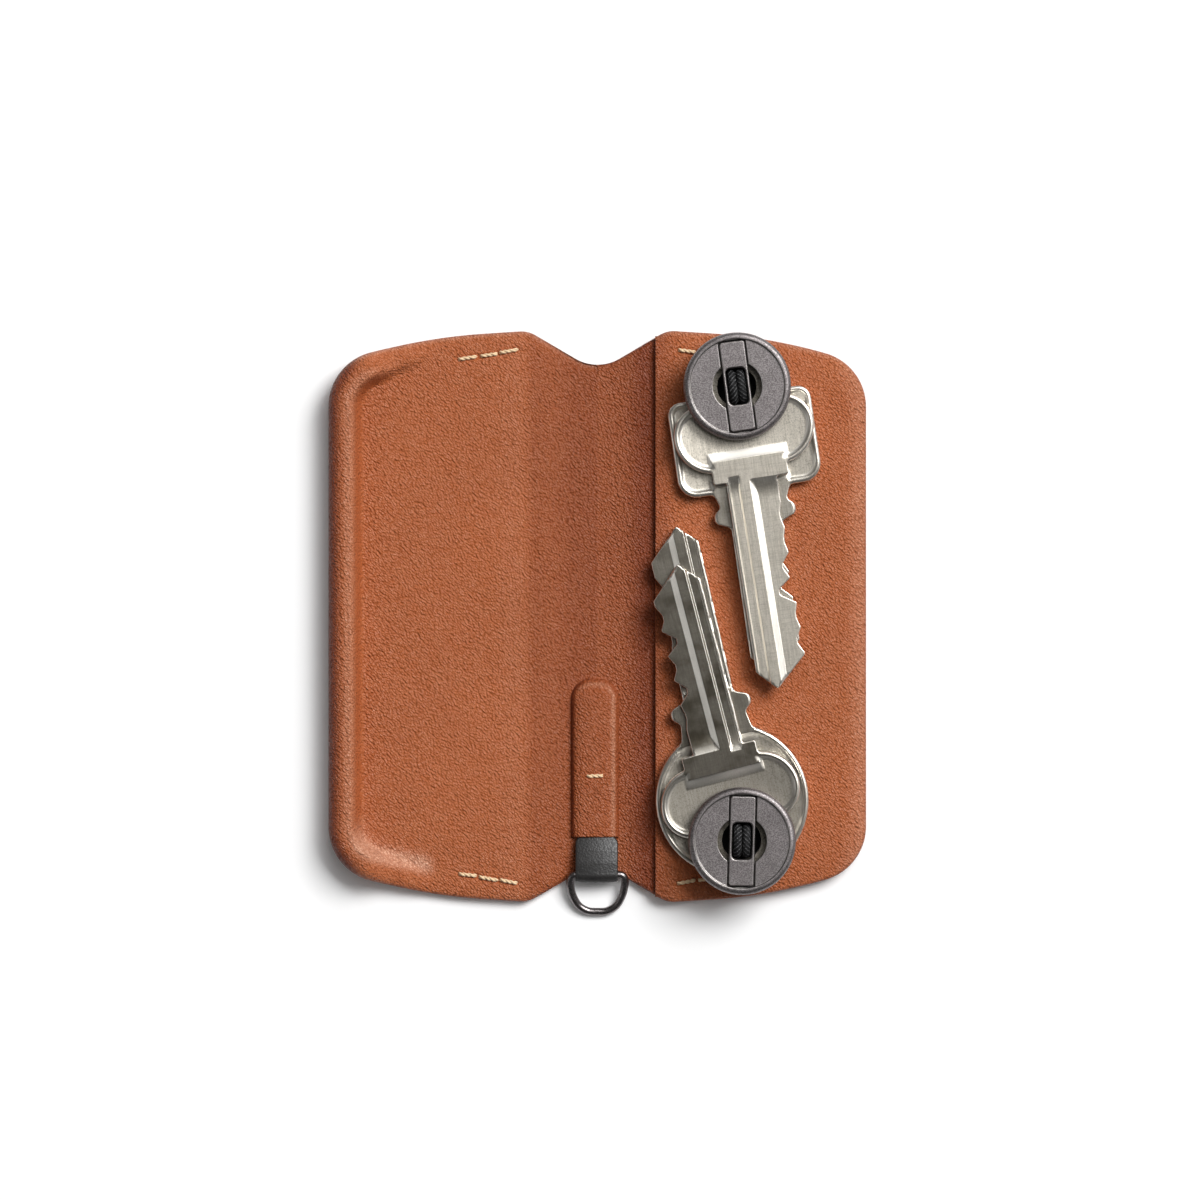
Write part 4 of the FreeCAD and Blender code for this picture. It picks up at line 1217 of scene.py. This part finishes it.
# %% [markdown]
# The strap is a dark woven ribbon, doubled round the ring's bar and tucked into the sleeve.
# From the side it is a narrow loop, so that loop is the path along which the ribbon's section is swept.

# %% The dark strap
STRAP_SHIFT = -0.15
STRAP_THICK = 0.42
STRAP_ARCH = 0.28
STRAP_STEP = 0.3
STRAP_SIDES = 22
STRAP_TUCKED = 0.78
STRAP_OPENING = 1.1
STRAP_RISE = ((2.5, 2.25), (0.6, 2.3), (-0.5, 2.52), (-2.2, 3.0), (-4.2, 3.33))
STRAP_TURN = (78, 270)
STRAP_UNDER = (-3.0, 2.5)
strap_low, strap_high = node_box("tab_strap")
strap_width = strap_high[0] - strap_low[0]
ring_bar = joint_place("ring_swing")


def strap_path():
    """Returns the strap's middle line as seen from the side, from the sleeve over the bar and back."""
    _, bar_y, bar_z = ring_bar
    radius = (strap_high[2] - bar_z) - STRAP_THICK / 2
    mouth = sleeve_low[1]
    over = [(mouth + out, height) for out, height in STRAP_RISE]
    angles = np.linspace(*np.radians(STRAP_TURN), STRAP_SIDES)
    around = [(bar_y + radius * math.cos(a), bar_z + radius * math.sin(a)) for a in angles]
    under = [(mouth + out, bar_z - radius) for out in STRAP_UNDER]
    line = divided(np.array(over + around + under), STRAP_STEP)
    return np.column_stack([np.full(len(line), SPINE_MIDDLE + STRAP_SHIFT), line])


def ribbon_section(width, thick):
    """Returns a flat section with rounded sides, arched a little."""
    half, rim = width / 2, thick / 2
    top = [(x, rim * math.sqrt(max(1 - max(abs(x) - half + rim, 0) ** 2 / rim ** 2, 0)))
           for x in half * np.sin(np.linspace(-math.pi / 2, math.pi / 2, STRAP_SIDES))]
    section = np.array(top + [(x, -y) for x, y in top[::-1][1:-1]])
    section[:, 1] += STRAP_ARCH * (1 - (section[:, 0] / half) ** 2)
    return section


def strap_sections(line):
    """Returns the ribbon's section at each step, narrow in the sleeve and rounded where it comes out."""
    out = np.clip((sleeve_low[1] - line[:, 1]) / STRAP_OPENING, 0, 1)
    share = STRAP_TUCKED + (1 - STRAP_TUCKED) * np.sqrt(1 - (1 - out) ** 2)
    flat = ribbon_section(strap_width, STRAP_THICK)
    return np.stack([flat * (width, 1.0) for width in share])


strap_line = strap_path()
strap_mesh = sweep(strap_line, strap_sections(strap_line), (1, 0, 0))
strap = make_object("strap", *strap_mesh, strap_material)
settle(strap, "spine", "tab_strap")
print(f"strap {strap_width:.1f} mm wide round the ring at {ring_bar[1]:.1f}")

# %% [markdown]
# The caps, toggles and ring are blackened and tumbled, which leaves dark satin with bright worn edges.
# The Bevel node rounds the shading at sharp edges; where it bends the normal, the black has rubbed off.

# %% Gunmetal
GUNMETAL = paint(152, 146, 146)
GUNMETAL_DARK = paint(84, 79, 78)
GUNMETAL_WORN = paint(226, 221, 215)
WEAR_RADIUS = 0.2
RING_SHINE = 0.18


def edge_wear(at, radius_mm):
    """Returns a normal rounded at the edges, and where on the surface those edges are."""
    rounded = at.node("ShaderNodeBevel", {"samples": 6}, {"Radius": radius_mm * MM})
    facing = at.node("ShaderNodeNewGeometry", output="Normal")
    settings = {"operation": "DOT_PRODUCT"}
    agree = at.node("ShaderNodeVectorMath", settings, {0: rounded, 1: facing}, output="Value")
    return rounded, (1.0 - agree).ease(0.004, 0.1)


def make_gunmetal(name, shine):
    """Makes the blackened metal: a fine cast speckle, a few scratches and rubbed edges."""
    material, shader, at = start_material(name, metallic=1.0)
    rounded, wear = edge_wear(at, WEAR_RADIUS)
    speckle = at.noise(0.2, 3.0, 0.65)
    stains = at.noise(3.5, 3.0).ease(0.35, 0.7)
    scratches = (at * (1.0, 9.0, 1.0)).noise(0.9, 3.0, 0.7).ease(0.64, 0.72)
    colour = layered(GUNMETAL, [
        (speckle.ease(0.4, 0.6) * 0.75, GUNMETAL_DARK),
        (stains * 0.2, GUNMETAL_DARK),
        (wear * 0.85 + scratches * 0.12, GUNMETAL_WORN),
    ])
    roughness = (0.42 - shine) + speckle * 0.12 - wear * 0.12
    return finish_material(material, shader, colour, roughness, speckle, 0.02, rounded)


gunmetal = make_gunmetal("gunmetal", 0.0)
ring_metal = make_gunmetal("ring_metal", RING_SHINE)

# %% [markdown]
# The ring is bent from round wire: a straight bar in the strap's fold, shoulders, and a rounded foot.
# A smooth closed curve through a few points of one half gives the bend, and the section is swept round it.

# %% Bend the ring
WIRE_RADIUS = 0.65
WIRE_SIDES = 20
RING_STEPS = 8
RING_BAR = (0.0, 0.0)
RING_SIDE = ((2.9, 0.0), (4.05, -0.12), (4.5, -0.75), (4.52, -1.9), (4.12, -3.7), (3.1, -5.5), (1.6, -6.42))
RING_FOOT = (0.0, -6.55)


def smooth_loop(points, steps):
    """Returns a smooth closed curve through points, with some steps between each two."""
    points = np.asarray(points, float)
    neighbours = [np.roll(points, shift, 0) for shift in (1, 0, -1, -2)]
    curve = []
    for t in np.arange(steps) / steps:
        before = -t + 2 * t ** 2 - t ** 3
        here = 2 - 5 * t ** 2 + 3 * t ** 3
        after = t + 4 * t ** 2 - 3 * t ** 3
        second = t ** 3 - t ** 2
        curve.append(sum(w * p for w, p in zip((before, here, after, second), neighbours)) / 2)
    return np.stack(curve, axis=1).reshape(-1, points.shape[1])


def ring_line():
    """Returns the ring's middle line, drooping until its foot is near the table, and its plane's normal."""
    left_side = [(-x, y) for x, y in RING_SIDE[::-1]]
    flat = smooth_loop([RING_BAR, *RING_SIDE, RING_FOOT, *left_side], RING_STEPS)
    droop = math.asin((ring_bar[2] - WIRE_RADIUS - node_box("d_ring")[0][2]) / -RING_FOOT[1])
    upward = np.array([0, math.cos(droop), math.sin(droop)])
    return ring_bar + flat[:, :1] * (1, 0, 0) + flat[:, 1:] * upward, np.cross(upward, (1, 0, 0))


ring_path, ring_normal = ring_line()
wire_section = circle_points(0, 0, WIRE_RADIUS, WIRE_SIDES)
ring_mesh = sweep(ring_path, wire_section, ring_normal, closed=True)
ring_wire = make_object("ring_wire", *ring_mesh, ring_metal)
settle(ring_wire, "ring", "d_ring")
print("ring:", len(ring_wire.data.vertices), "points")

# %% [markdown]
# Each post is held down by a braided black elastic, whose plies stand out a little and catch the light.
# How far each point stands out is kept in the mesh, so that the finish can lighten just the plies' tops.

# %% The elastic's finish
CORD_BLACK = paint(15, 15, 16)
CORD_GREY = paint(160, 160, 162)


def make_cord_material():
    """Makes the black braid, whose plies catch the light in small flecks."""
    material, shader, at = start_material("black_braid", specular_ior_level=0.3)
    swell = attribute(at, "swell")
    fibres = attribute(at, "rest", "Vector").noise(0.12, 3.0, 0.6)
    flecks = swell.ease(0.7, 0.95) * fibres.ease(0.48, 0.6)
    colour = (flecks * 0.7).mix(CORD_BLACK, CORD_GREY)
    return finish_material(material, shader, colour, 0.55 + fibres * 0.25, fibres + swell, 0.04)


cord_material = make_cord_material()

# %% [markdown]
# The elastic is doubled over a pin inside the toggle bar, in two strands side by side.
# Each strand's plies wind one way round it, so that the tube's radius swells along a slant.
# Pulling the toggle up stretches the elastic.

# %% The braided elastic
CORD_RADIUS = 0.7
CORD_SIDES = 36
CORD_SPACING = 1.42
CORD_SPREAD = 2.15
CORD_CROWN = 1.42
CROWN_STEPS = 72
LEG_FINE = 2.0
LEG_STEPS = (8, 24)
BRAID_PLIES = 5
BRAID_LENGTH = 0.62
BRAID_SWELL = 0.1


def long_direction(name):
    """Returns the flat direction in which a node is longest."""
    spread = np.array([tuple(v.co)[:2] for v in nodes[name].data.vertices])
    spread -= (spread.min(0) + spread.max(0)) / 2
    direction = np.linalg.svd(spread, full_matrices=False)[2][0]
    return direction * np.sign(direction[1])


def cord_line(foot, top):
    """Returns a strand's line in its own plane: up a leg, over the pin and down again."""
    coarse = np.linspace(foot, top - LEG_FINE, LEG_STEPS[0])[:-1]
    legs = np.concatenate([coarse, np.linspace(top - LEG_FINE, top, LEG_STEPS[1])])
    arc = np.linspace(math.pi, 0, CROWN_STEPS)[1:-1]
    line = [(-CORD_SPREAD, z) for z in legs]
    line += [(CORD_SPREAD * math.cos(a), top + CORD_CROWN * math.sin(a)) for a in arc]
    line += [(CORD_SPREAD, z) for z in legs[::-1]]
    return np.array(line)


def braid_strand(pin, along, foot, lean):
    """Returns one strand's points, faces and swell; lean (-1 or 1) is its side and its plies' slant."""
    line = cord_line(foot, pin[2])
    sideways = np.array([along[1], -along[0], 0])
    path = pin * (1, 1, 0) + line[:, :1] * np.append(along, 0) + line[:, 1:] * (0, 0, 1)
    path = path + lean * CORD_SPACING / 2 * sideways
    travelled = np.append(0, np.cumsum(np.linalg.norm(np.diff(path, axis=0), axis=1)))
    angles = np.linspace(0, 2 * math.pi, CORD_SIDES, endpoint=False)
    phase = 2 * math.pi * travelled[:, None] / BRAID_LENGTH
    swell = (np.cos(BRAID_PLIES * angles[None] + lean * phase) + 1) / 2
    radius = CORD_RADIUS * (1 - BRAID_SWELL + BRAID_SWELL * swell)
    section = np.stack([radius * np.cos(angles), radius * np.sin(angles)], axis=2)
    return (*sweep(path, section, sideways), swell.ravel())


for end in POSTS:
    pin = sum(node_box(f"{end}_toggle_pin")) / 2
    foot = node_box(f"{end}_cord")[0][2]
    along = long_direction(f"{end}_toggle_bar")
    strands = [braid_strand(pin, along, foot, lean) for lean in (-1, 1)]
    points, faces = joined([strand[:2] for strand in strands])
    swell = np.concatenate([strand[2] for strand in strands])
    elastic = make_object(f"{end}_elastic", points, faces, cord_material, {"swell": swell})
    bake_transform(elastic)
    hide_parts(f"{end}_cord")
    print(f"{end} elastic: {len(points)} points, toggle lies along {along.round(3)}")

# %% [markdown]
# The keys are pressed from sheet and milled, and the model's keys have the right outline.
# A slice through a mesh has doubled points and points along straight runs, so it is cleaned first.
# Sharp corners are then rounded a little, as tumbling leaves them.

# %% Clean and soften an outline
SAME_PLACE = 1e-3
STRAIGHT_TURN = 0.004
SHARP_TURN = 0.3
CORNER_SHARE = 0.45
ROUNDING_STEP = 0.2


def length_of(loop):
    """Returns the length of a closed outline."""
    return np.linalg.norm(np.roll(loop, -1, 0) - loop, axis=1).sum()


def area_of(loop):
    """Returns the area of a closed outline, below zero where it runs clockwise."""
    after = np.roll(loop, -1, 0)
    return (loop[:, 0] * after[:, 1] - loop[:, 1] * after[:, 0]).sum() / 2


def turns_of(loop):
    """Returns the angle by which a closed outline turns at each point."""
    into = loop - np.roll(loop, 1, 0)
    out = np.roll(loop, -1, 0) - loop
    cross = into[:, 0] * out[:, 1] - into[:, 1] * out[:, 0]
    return np.arctan2(cross, (into * out).sum(1))


def simplified(loop):
    """Drops doubled points and points in the middle of straight runs."""
    loop = loop[np.linalg.norm(loop - np.roll(loop, 1, 0), axis=1) > SAME_PLACE]
    return loop[np.abs(turns_of(loop)) > STRAIGHT_TURN]


def softened(loop, radius):
    """Rounds the sharp corners of a closed outline."""
    lengths = np.linalg.norm(np.roll(loop, -1, 0) - loop, axis=1)
    room = np.minimum(lengths, np.roll(lengths, 1)) * CORNER_SHARE
    turns = np.abs(turns_of(loop))
    widest = room / np.tan(np.maximum(turns, SHARP_TURN) / 2)
    fit = np.where(turns > SHARP_TURN, np.minimum(radius, widest), SAME_PLACE)
    corners = [(*place, size) for place, size in zip(loop, fit)]
    return rounded_path(corners[-1:] + corners + corners[:1], ROUNDING_STEP)[1:-1]


print("outline tools ready")

# %% [markdown]
# A cut through the middle of each key gives loose edges, which are walked from point to point.
# The longest loop is the key's outline, and the next one is its hole.


# %% Slice the model's keys for their outlines
def walked_loops(edges):
    """Returns the closed outlines (x, y) that loose edges make up."""
    next_to = {}
    for edge in edges:
        first, second = edge.verts
        next_to.setdefault(first, []).append(second)
        next_to.setdefault(second, []).append(first)
    loops = []
    while next_to:
        walk = [next(iter(next_to))]
        ahead = next_to.pop(walk[-1])
        while ahead:
            walk.append(ahead[0])
            ahead = [v for v in next_to.pop(walk[-1]) if v in next_to]
        loops.append(np.array([tuple(v.co)[:2] for v in walk]) / MM)
    return loops


def sliced_loops(name):
    """Returns the closed outlines (x, y) of a node halfway up, longest first."""
    low, high = node_box(name)
    solid = bmesh.new()
    solid.from_mesh(nodes[name].data)
    bmesh.ops.remove_doubles(solid, verts=solid.verts, dist=1e-6)
    parts = solid.verts[:] + solid.edges[:] + solid.faces[:]
    middle = (0, 0, (low[2] + high[2]) / 2 * MM)
    cut = bmesh.ops.bisect_plane(solid, geom=parts, plane_co=middle, plane_no=(0, 0, 1), dist=1e-7)
    loops = walked_loops(part for part in cut["geom_cut"] if isinstance(part, bmesh.types.BMEdge))
    solid.free()
    loops = [simplified(loop) for loop in sorted(loops, key=length_of, reverse=True)]
    return [loop if area_of(loop) > 0 else loop[::-1] for loop in loops]


key_loops = {name: sliced_loops(name) for name in nodes if name.endswith("_key")}
print({name: [f"{length_of(loop):.1f} mm" for loop in loops] for name, loops in key_loops.items()})

# %% [markdown]
# A rounded bead runs round the sunk, dished face of the bow, which ends in a slope at the neck's block.
# Along the blade the cutter leaves a narrow groove, a ridge, and a wide low flat on the side of the teeth.
# The cutter is round, so each cut starts with a hollow ramp.

# %% Sizes and directions of the keys
BLADE_HALF = 4.25
BEAD_WIDTH = 1.0
BEAD_FALL = 0.22
SUNK_DEPTH = 0.36
DISH_DEPTH = 0.3
NECK_SLOPE = 1.6
NECK_HALF = 6.2
NECK_SOFT = 0.5
KEY_ROUND = 0.14
MILL_DEPTH = 0.5
MILL_RUN_OUT = 3.2
FLAT_DELAY = 0.85
GROOVE_WALLS = (0.41, 0.59, 1.88, 2.22)
FLAT_WALL = (3.9, 4.96)
UNDERSIDE_SHARE = 0.5
CAP_SHADE = (4.0, 4.7)
BOW_SHADE = (7.5, 12.0)
FRONT_FORM = {"recess_end": 11.8, "mill_start": 14.6, "bow": 6.0, "bow_half": 11.0}
SQUARE_FORM = {"recess_end": 16.2, "mill_start": 23.4, "bow": 9.0, "bow_half": 12.0}
ROUND_FORM = {"recess_end": 17.2, "mill_start": 24.8, "bow": 7.0, "bow_half": 12.0}
KEY_FORMS = {
    "upper_front_key": FRONT_FORM,
    "lower_front_key": FRONT_FORM,
    "upper_rear_key": SQUARE_FORM,
    "lower_rear_key": ROUND_FORM,
}


def key_axes(name):
    """Returns a key's pivot, the direction in which its blade points, and the side that has the teeth."""
    loop = key_loops[name][0]
    pivot = joint_place(f"{name}_swing")[:2]
    runs = np.roll(loop, -1, 0) - loop
    back = runs[np.argmax(np.linalg.norm(runs, axis=1))]
    back /= np.linalg.norm(back)
    tip = loop[np.argmax(np.linalg.norm(loop - pivot, axis=1))]
    ahead = back * np.sign(back @ (tip - pivot))
    return pivot, ahead, np.array([-ahead[1], ahead[0]])


def run_out(past_start):
    """Returns how deep the round cutter has gone in, along the hollow ramp where a cut starts."""
    return 1 - (1 - np.clip(past_start / MILL_RUN_OUT, 0, 1)) ** 2


print({name: f"blade along {key_axes(name)[1].round(2)}" for name in KEY_FORMS})

# %% [markdown]
# Each key's rules share its pivot and directions, so they are made together, for one key at a time.
# They drop the model's flat face by the bead, the sunk face with its dish, and the two cuts.


# %% Rules for the relief of a key
def key_rules(name):
    """Returns the height rules of a key's two faces, and the marks of where it is sunk and where painted
    shade falls round the cap.
    """
    form = KEY_FORMS[name]
    pivot, ahead, side = key_axes(name)
    low, high = node_box(name)

    def own(plan):
        """Returns each point's place across and along the blade."""
        return (plan - pivot) @ side, (plan - pivot) @ ahead

    def bow_share(plan):
        """Is 1 on the bow, and falls to 0 on the neck's block and the blade."""
        sideways, along = own(plan)
        beside = ease(np.abs(sideways), NECK_HALF, NECK_HALF + NECK_SOFT)
        return np.maximum(np.clip((form["recess_end"] - along) / NECK_SLOPE, 0, 1), beside)

    def sunk(plan, distance):
        """Marks the sunk face of the bow, inside its bead."""
        return bow_share(plan) * ease(distance, 0.8 * BEAD_WIDTH, 1.3 * BEAD_WIDTH)

    def milled(plan):
        """Returns how deep the groove and the flat are, as a share of a full cut."""
        sideways, along = own(plan)
        place = sideways + BLADE_HALF
        past_start = along - form["mill_start"]
        groove = np.minimum(np.interp(place, GROOVE_WALLS, (0, 1, 1, 0)), run_out(past_start))
        flat = np.minimum(np.interp(place, FLAT_WALL, (0, 1)), run_out(past_start - FLAT_DELAY))
        return groove + flat

    def drop(plan, distance):
        """Returns how far the press and the cutter have lowered the face."""
        sideways, along = own(plan)
        bead = BEAD_FALL * np.clip(np.abs(distance - BEAD_WIDTH / 2) / (BEAD_WIDTH / 2), 0, 1) ** 2
        reach = np.hypot(sideways, along - form["bow"]) / form["bow_half"]
        dish = DISH_DEPTH * np.clip(1 - reach ** 2, 0, 1)
        hollow = sunk(plan, distance)
        bow = bow_share(plan) * bead * (1 - hollow) + hollow * (SUNK_DEPTH + dish)
        return edge_drop(distance, KEY_ROUND) + bow + MILL_DEPTH * milled(plan)

    def top(plan, distance):
        """Returns the height of the upper face."""
        return high[2] - drop(plan, distance)

    def bottom(plan, distance):
        """Returns the height of the lower face, with a weaker relief."""
        return low[2] + UNDERSIDE_SHARE * drop(plan, distance)

    def painted_cap_shade(plan, distance):
        """Marks painted shade under the cap, and a little of it round the cap."""
        reach = np.hypot(*own(plan))
        return 0.8 * fade(reach, *CAP_SHADE) + 0.1 * fade(reach, *BOW_SHADE)

    return (top, bottom), {"sunk": sunk, "painted_cap_shade": painted_cap_shade}


print("relief rules ready")

# %% [markdown]
# The relief is steep, so rows of points follow each wall of the cuts, their starts and the neck's slope.
# The model's own hole is kept, and how level each point lies is marked for the finish.

# %% Press and mill the keys
KEY_SPACING = 0.8
KEY_STEP = 0.4
KEY_INSETS = (0.04, 0.1, 0.18, 0.34, 0.5, 0.66, 0.8, 0.92, 1.05, 1.2, 1.4, 1.7)
WALL_GAP = 0.06
WALL_STEP = 0.42
START_STEPS = (-0.08, 0.0, 0.08, 0.24)
START_SPACING = 0.3
NECK_SHARES = (-0.12, -0.06, 0.0, 0.06, 0.2, 0.4, 0.6, 0.8, 0.94, 1.0, 1.06, 1.12)
NECK_REACH = 8.0
NECK_SPACING = 0.2
LEVEL_RANGE = (0.93, 0.99)
SHOULDER_ROUND = 1.0
TOOTH_ROUND = 0.3


def key_points(name):
    """Returns rows of points along the milled cuts, across their starts and down the neck's slope."""
    form = KEY_FORMS[name]
    pivot, ahead, side = key_axes(name)
    reach = ((key_loops[name][0] - pivot) @ ahead).max()
    along = np.arange(form["mill_start"] - 0.4, reach, WALL_STEP)
    lines = [wall + step * WALL_GAP for wall in GROOVE_WALLS + FLAT_WALL for step in (-2, -1, 0, 1, 2)]
    lines += list(np.linspace(*FLAT_WALL, 6)[1:-1])
    rows = [(line - BLADE_HALF, place) for line in lines for place in along]
    starts = [form["mill_start"] + late + step for late in (0, FLAT_DELAY) for step in START_STEPS]
    blade = np.arange(-BLADE_HALF, BLADE_HALF, START_SPACING)
    rows += [(line, start) for start in starts for line in blade]
    necks = [form["recess_end"] - NECK_SLOPE * share for share in NECK_SHARES]
    bow = np.arange(-NECK_REACH, NECK_REACH, NECK_SPACING)
    rows += [(line, neck) for neck in necks for line in bow]
    rows = np.array(rows)
    return pivot + rows[:, :1] * side + rows[:, 1:] * ahead


def corner_sizes(name):
    """Returns how far each corner of a key is rounded: much at the shoulder, little at the teeth."""
    pivot, ahead, _ = key_axes(name)
    along = (key_loops[name][0] - pivot) @ ahead
    return np.where(along < KEY_FORMS[name]["mill_start"] + 0.5, SHOULDER_ROUND, TOOTH_ROUND)


def make_key(name):
    """Makes one key over the model's outline."""
    outline = divided(softened(key_loops[name][0], corner_sizes(name)), KEY_STEP)
    path = np.vstack([outline, outline[:1]])
    hole = key_loops[name][1]
    middle = hole.mean(0)
    radius = np.linalg.norm(hole - middle, axis=1).mean()
    rules, masks = key_rules(name)
    key = make_skin(
        f"{name}_worn", path, rules, KEY_INSETS, KEY_SPACING, masks,
        extra=key_points(name), holes=[(*middle, radius)], material=None)
    upright = np.array([tuple(normal.vector) for normal in key.data.vertex_normals])[:, 2]
    keep_values(key.data, "level", ease(np.abs(upright), *LEVEL_RANGE))
    settle(key, name, name)
    return key


keys = {name: make_key(name) for name in KEY_FORMS}

# %% [markdown]
# The keys are nickel-plated brass, and each key's level faces are darkened by its own share as painted dark
# reflection.
# Fine scratches run along each blade, so their noise is stretched along the key's own direction.
# The bead and the walls get a painted highlight, the sunk face keeps the press's fine sand, and the cutter
# leaves close lines.

# %% Worn nickel
NICKEL = paint(224, 217, 204)
NICKEL_DULL = paint(170, 163, 150)
NICKEL_DARK = paint(70, 65, 56)
NICKEL_HIGHLIGHT = paint(252, 248, 240)
KEY_DARK_REFLECTION = {
    "upper_front_key": 0.08,
    "upper_rear_key": 0.42,
    "lower_front_key": 0.8,
    "lower_rear_key": 0.7,
}


def make_nickel(name, dark_reflection):
    """Makes one key's nickel: scratches along its own direction, painted dark reflection on its level faces,
    painted highlights on its slopes and walls, and painted shade round the cap.
    """
    material, shader, at = start_material(f"nickel_{name}", metallic=1.0)
    _, ahead, _ = key_axes(name)
    own = attribute(at, "rest", "Vector").turned(math.atan2(ahead[0], ahead[1]))
    streaks = (own * (1.0, 0.05, 1.0)).noise(0.24, 3.0, 0.6)
    nicks = (own * (1.0, 0.3, 1.0)).noise(0.45, 4.0, 0.7)
    passes = (own * (0.06, 1.0, 1.0)).noise(0.22, 2.0, 0.5)
    tarnish = own.noise(5.0, 3.0).ease(0.4, 0.72)
    sand = own.noise(0.24, 3.0, 0.7)
    sunk, level, painted_cap_shade = attribute(at, "sunk"), attribute(at, "level"), attribute(at, "painted_cap_shade")
    slope = (sunk * (1.0 - sunk)).ease(0.02, 0.14)
    walls = (1.0 - level) * (1.0 - sunk)
    colour = layered(NICKEL, [
        (streaks.ease(0.35, 0.7) * 0.55, NICKEL_DULL),
        (passes.ease(0.45, 0.7) * (1.0 - sunk) * 0.3, NICKEL_DULL),
        # The sand darkens more in the painted shade round the cap.
        (sand.ease(0.48, 0.66) * (0.2 + sunk * 0.24 + painted_cap_shade * 0.5), NICKEL_DARK),
        # Painted dark reflection: level faces darkened by the key's own share, with random tarnish.
        ((tarnish * 0.2 + dark_reflection) * (level + slope * dark_reflection) * (1.0 - sunk * 0.4), NICKEL_DARK),
        # Painted shade under and round the cap.
        (painted_cap_shade * 0.7, NICKEL_DARK),
        # Painted highlight on the neck's slope, the bead's inner slope and the walls.
        (slope * (0.85 - 0.85 * dark_reflection) + walls * 0.7, NICKEL_HIGHLIGHT),
    ])
    roughness = 0.27 + streaks * 0.12 + tarnish * 0.06 + sunk * 0.08 + slope * 0.12
    height = (streaks * 0.012 + nicks * 0.008) * (1.0 - sunk) + sand * (0.003 + sunk * 0.012)
    return finish_material(material, shader, colour, roughness, height, 1.0)


for name, key in keys.items():
    key.data.materials.append(make_nickel(name, KEY_DARK_REFLECTION[name]))

# %% [markdown]
# Boards, plates, magnets, anchors and pins are hidden in the case, but get a plain finish of their own.
# Caps and toggle bars keep the model's shape and take the gunmetal.


# %% Hand out the metals and the hidden pieces' finishes
def make_plain(name, colour, metallic, speck_mm):
    """Makes a plain finish with fine specks."""
    material, shader, at = start_material(name, metallic=metallic)
    specks = at.noise(speck_mm, 3.0, 0.6)
    darker = tuple(0.6 * channel for channel in colour[:3]) + (1.0,)
    shade = specks.ease(0.3, 0.7).mix(colour, darker)
    return finish_material(material, shader, shade, 0.45 + specks * 0.3, specks, 0.03)


board = make_plain("pressed_board", paint(150, 140, 126), 0.0, 0.8)
steel = make_plain("hidden_steel", paint(170, 170, 172), 1.0, 0.3)
black_steel = make_plain("black_steel", paint(58, 57, 56), 1.0, 0.3)
FINISHES = {
    ("_cap", "_toggle_bar"): gunmetal,
    ("_stiffener",): board,
    ("_magnet", "_keeper_plate"): steel,
    ("_toggle_pin", "_anchor"): black_steel,
}
dressed = [
    (name, material) for endings, material in FINISHES.items() for name in nodes if name.endswith(endings)]
for name, material in dressed:
    nodes[name].data.materials.clear()
    nodes[name].data.materials.append(material)
print("finishes handed out:", len(dressed))

# %% [markdown]
# The case lies on a white table that takes its soft shadow.
# The table adds a little white of its own that only the camera and reflections see, so it lights nothing.
# That white grows away from the case, where the lamps' light falls off.

# %% The table
WHITE = (1.0, 1.0, 1.0, 1.0)
BLACK = (0.0, 0.0, 0.0, 1.0)
TABLE_WHITE = (0.97, 0.97, 0.97, 1.0)
TABLE_HALF = 1.5
GLOW_NEAR = 0.05
GLOW_FAR = 0.08
GLOW_REACH = (0.1, 0.14)


def make_table_material():
    """Makes the white table top, whose own white is seen but lights nothing."""
    material, shader, at = start_material(
        "table_white", base_color=TABLE_WHITE, roughness=0.9, specular_ior_level=0.0, emission_strength=1.0)
    rays = at.node("ShaderNodeLightPath", output="Is Camera Ray")
    rays = rays + at.node("ShaderNodeLightPath", output="Is Glossy Ray")
    rays = rays + at.node("ShaderNodeLightPath", output="Is Transmission Ray")
    place = at.node("ShaderNodeNewGeometry", output="Position")
    reach = at.node("ShaderNodeVectorMath", {"operation": "LENGTH"}, {"Vector": place}, output="Value")
    glow = GLOW_NEAR + reach.ease(*GLOW_REACH) * GLOW_FAR
    feed(material.node_tree, shader.inputs["Emission Color"], (rays * glow).mix(BLACK, WHITE))
    return material


table_mesh = bpy.data.meshes.new("table_top")
table_corners = [(x * TABLE_HALF, y * TABLE_HALF, 0.0) for x, y in ((-1, -1), (1, -1), (1, 1), (-1, 1))]
table_mesh.from_pydata(table_corners, [], [(0, 1, 2, 3)])
table_mesh.materials.append(make_table_material())
table = add_object("table_top", table_mesh)
print(f"table {2 * TABLE_HALF:.0f} m wide")

# %% [markdown]
# Soft light comes from the upper right: a large lamp there, and weak ones from far, top and left.
# The room itself is dim, so that the metal keeps its dark sides and the rim its shadow.

# %% Light
ROOM_STRENGTH = 0.07
LAMPS = {
    "right_lamp": ((1.27, 1.14, 1.96), 1.3, 75.0),
    "far_lamp": ((0.25, 1.6, 2.2), 0.8, 7.0),
    "top_lamp": ((0.36, 0.47, 1.8), 0.85, 4.0),
    "left_lamp": ((-1.8, -0.3, 1.2), 0.8, 2.2),
}


def add_lamp(name, place, size, watts):
    """Adds a square soft lamp that points at the middle of the case."""
    data = bpy.data.lights.new(name, "AREA")
    data.size = size
    data.energy = watts
    lamp = add_object(name, data)
    lamp.location = place
    aim = Vector((FRAME_MIDDLE[0] * MM, 0, 0)) - lamp.location
    lamp.rotation_euler = aim.to_track_quat("-Z", "Y").to_euler()


def set_room(strength):
    """Lights the scene evenly from all around."""
    world = bpy.data.worlds.new("room")
    bpy.context.scene.world = world
    world.use_nodes = True
    background = world.node_tree.nodes["Background"]
    background.inputs["Color"].default_value = WHITE
    background.inputs["Strength"].default_value = strength


for name, (place, size, watts) in LAMPS.items():
    add_lamp(name, place, size, watts)
set_room(ROOM_STRENGTH)
bpy.context.scene.view_settings.view_transform = "Standard"
print("lamps:", len(LAMPS))
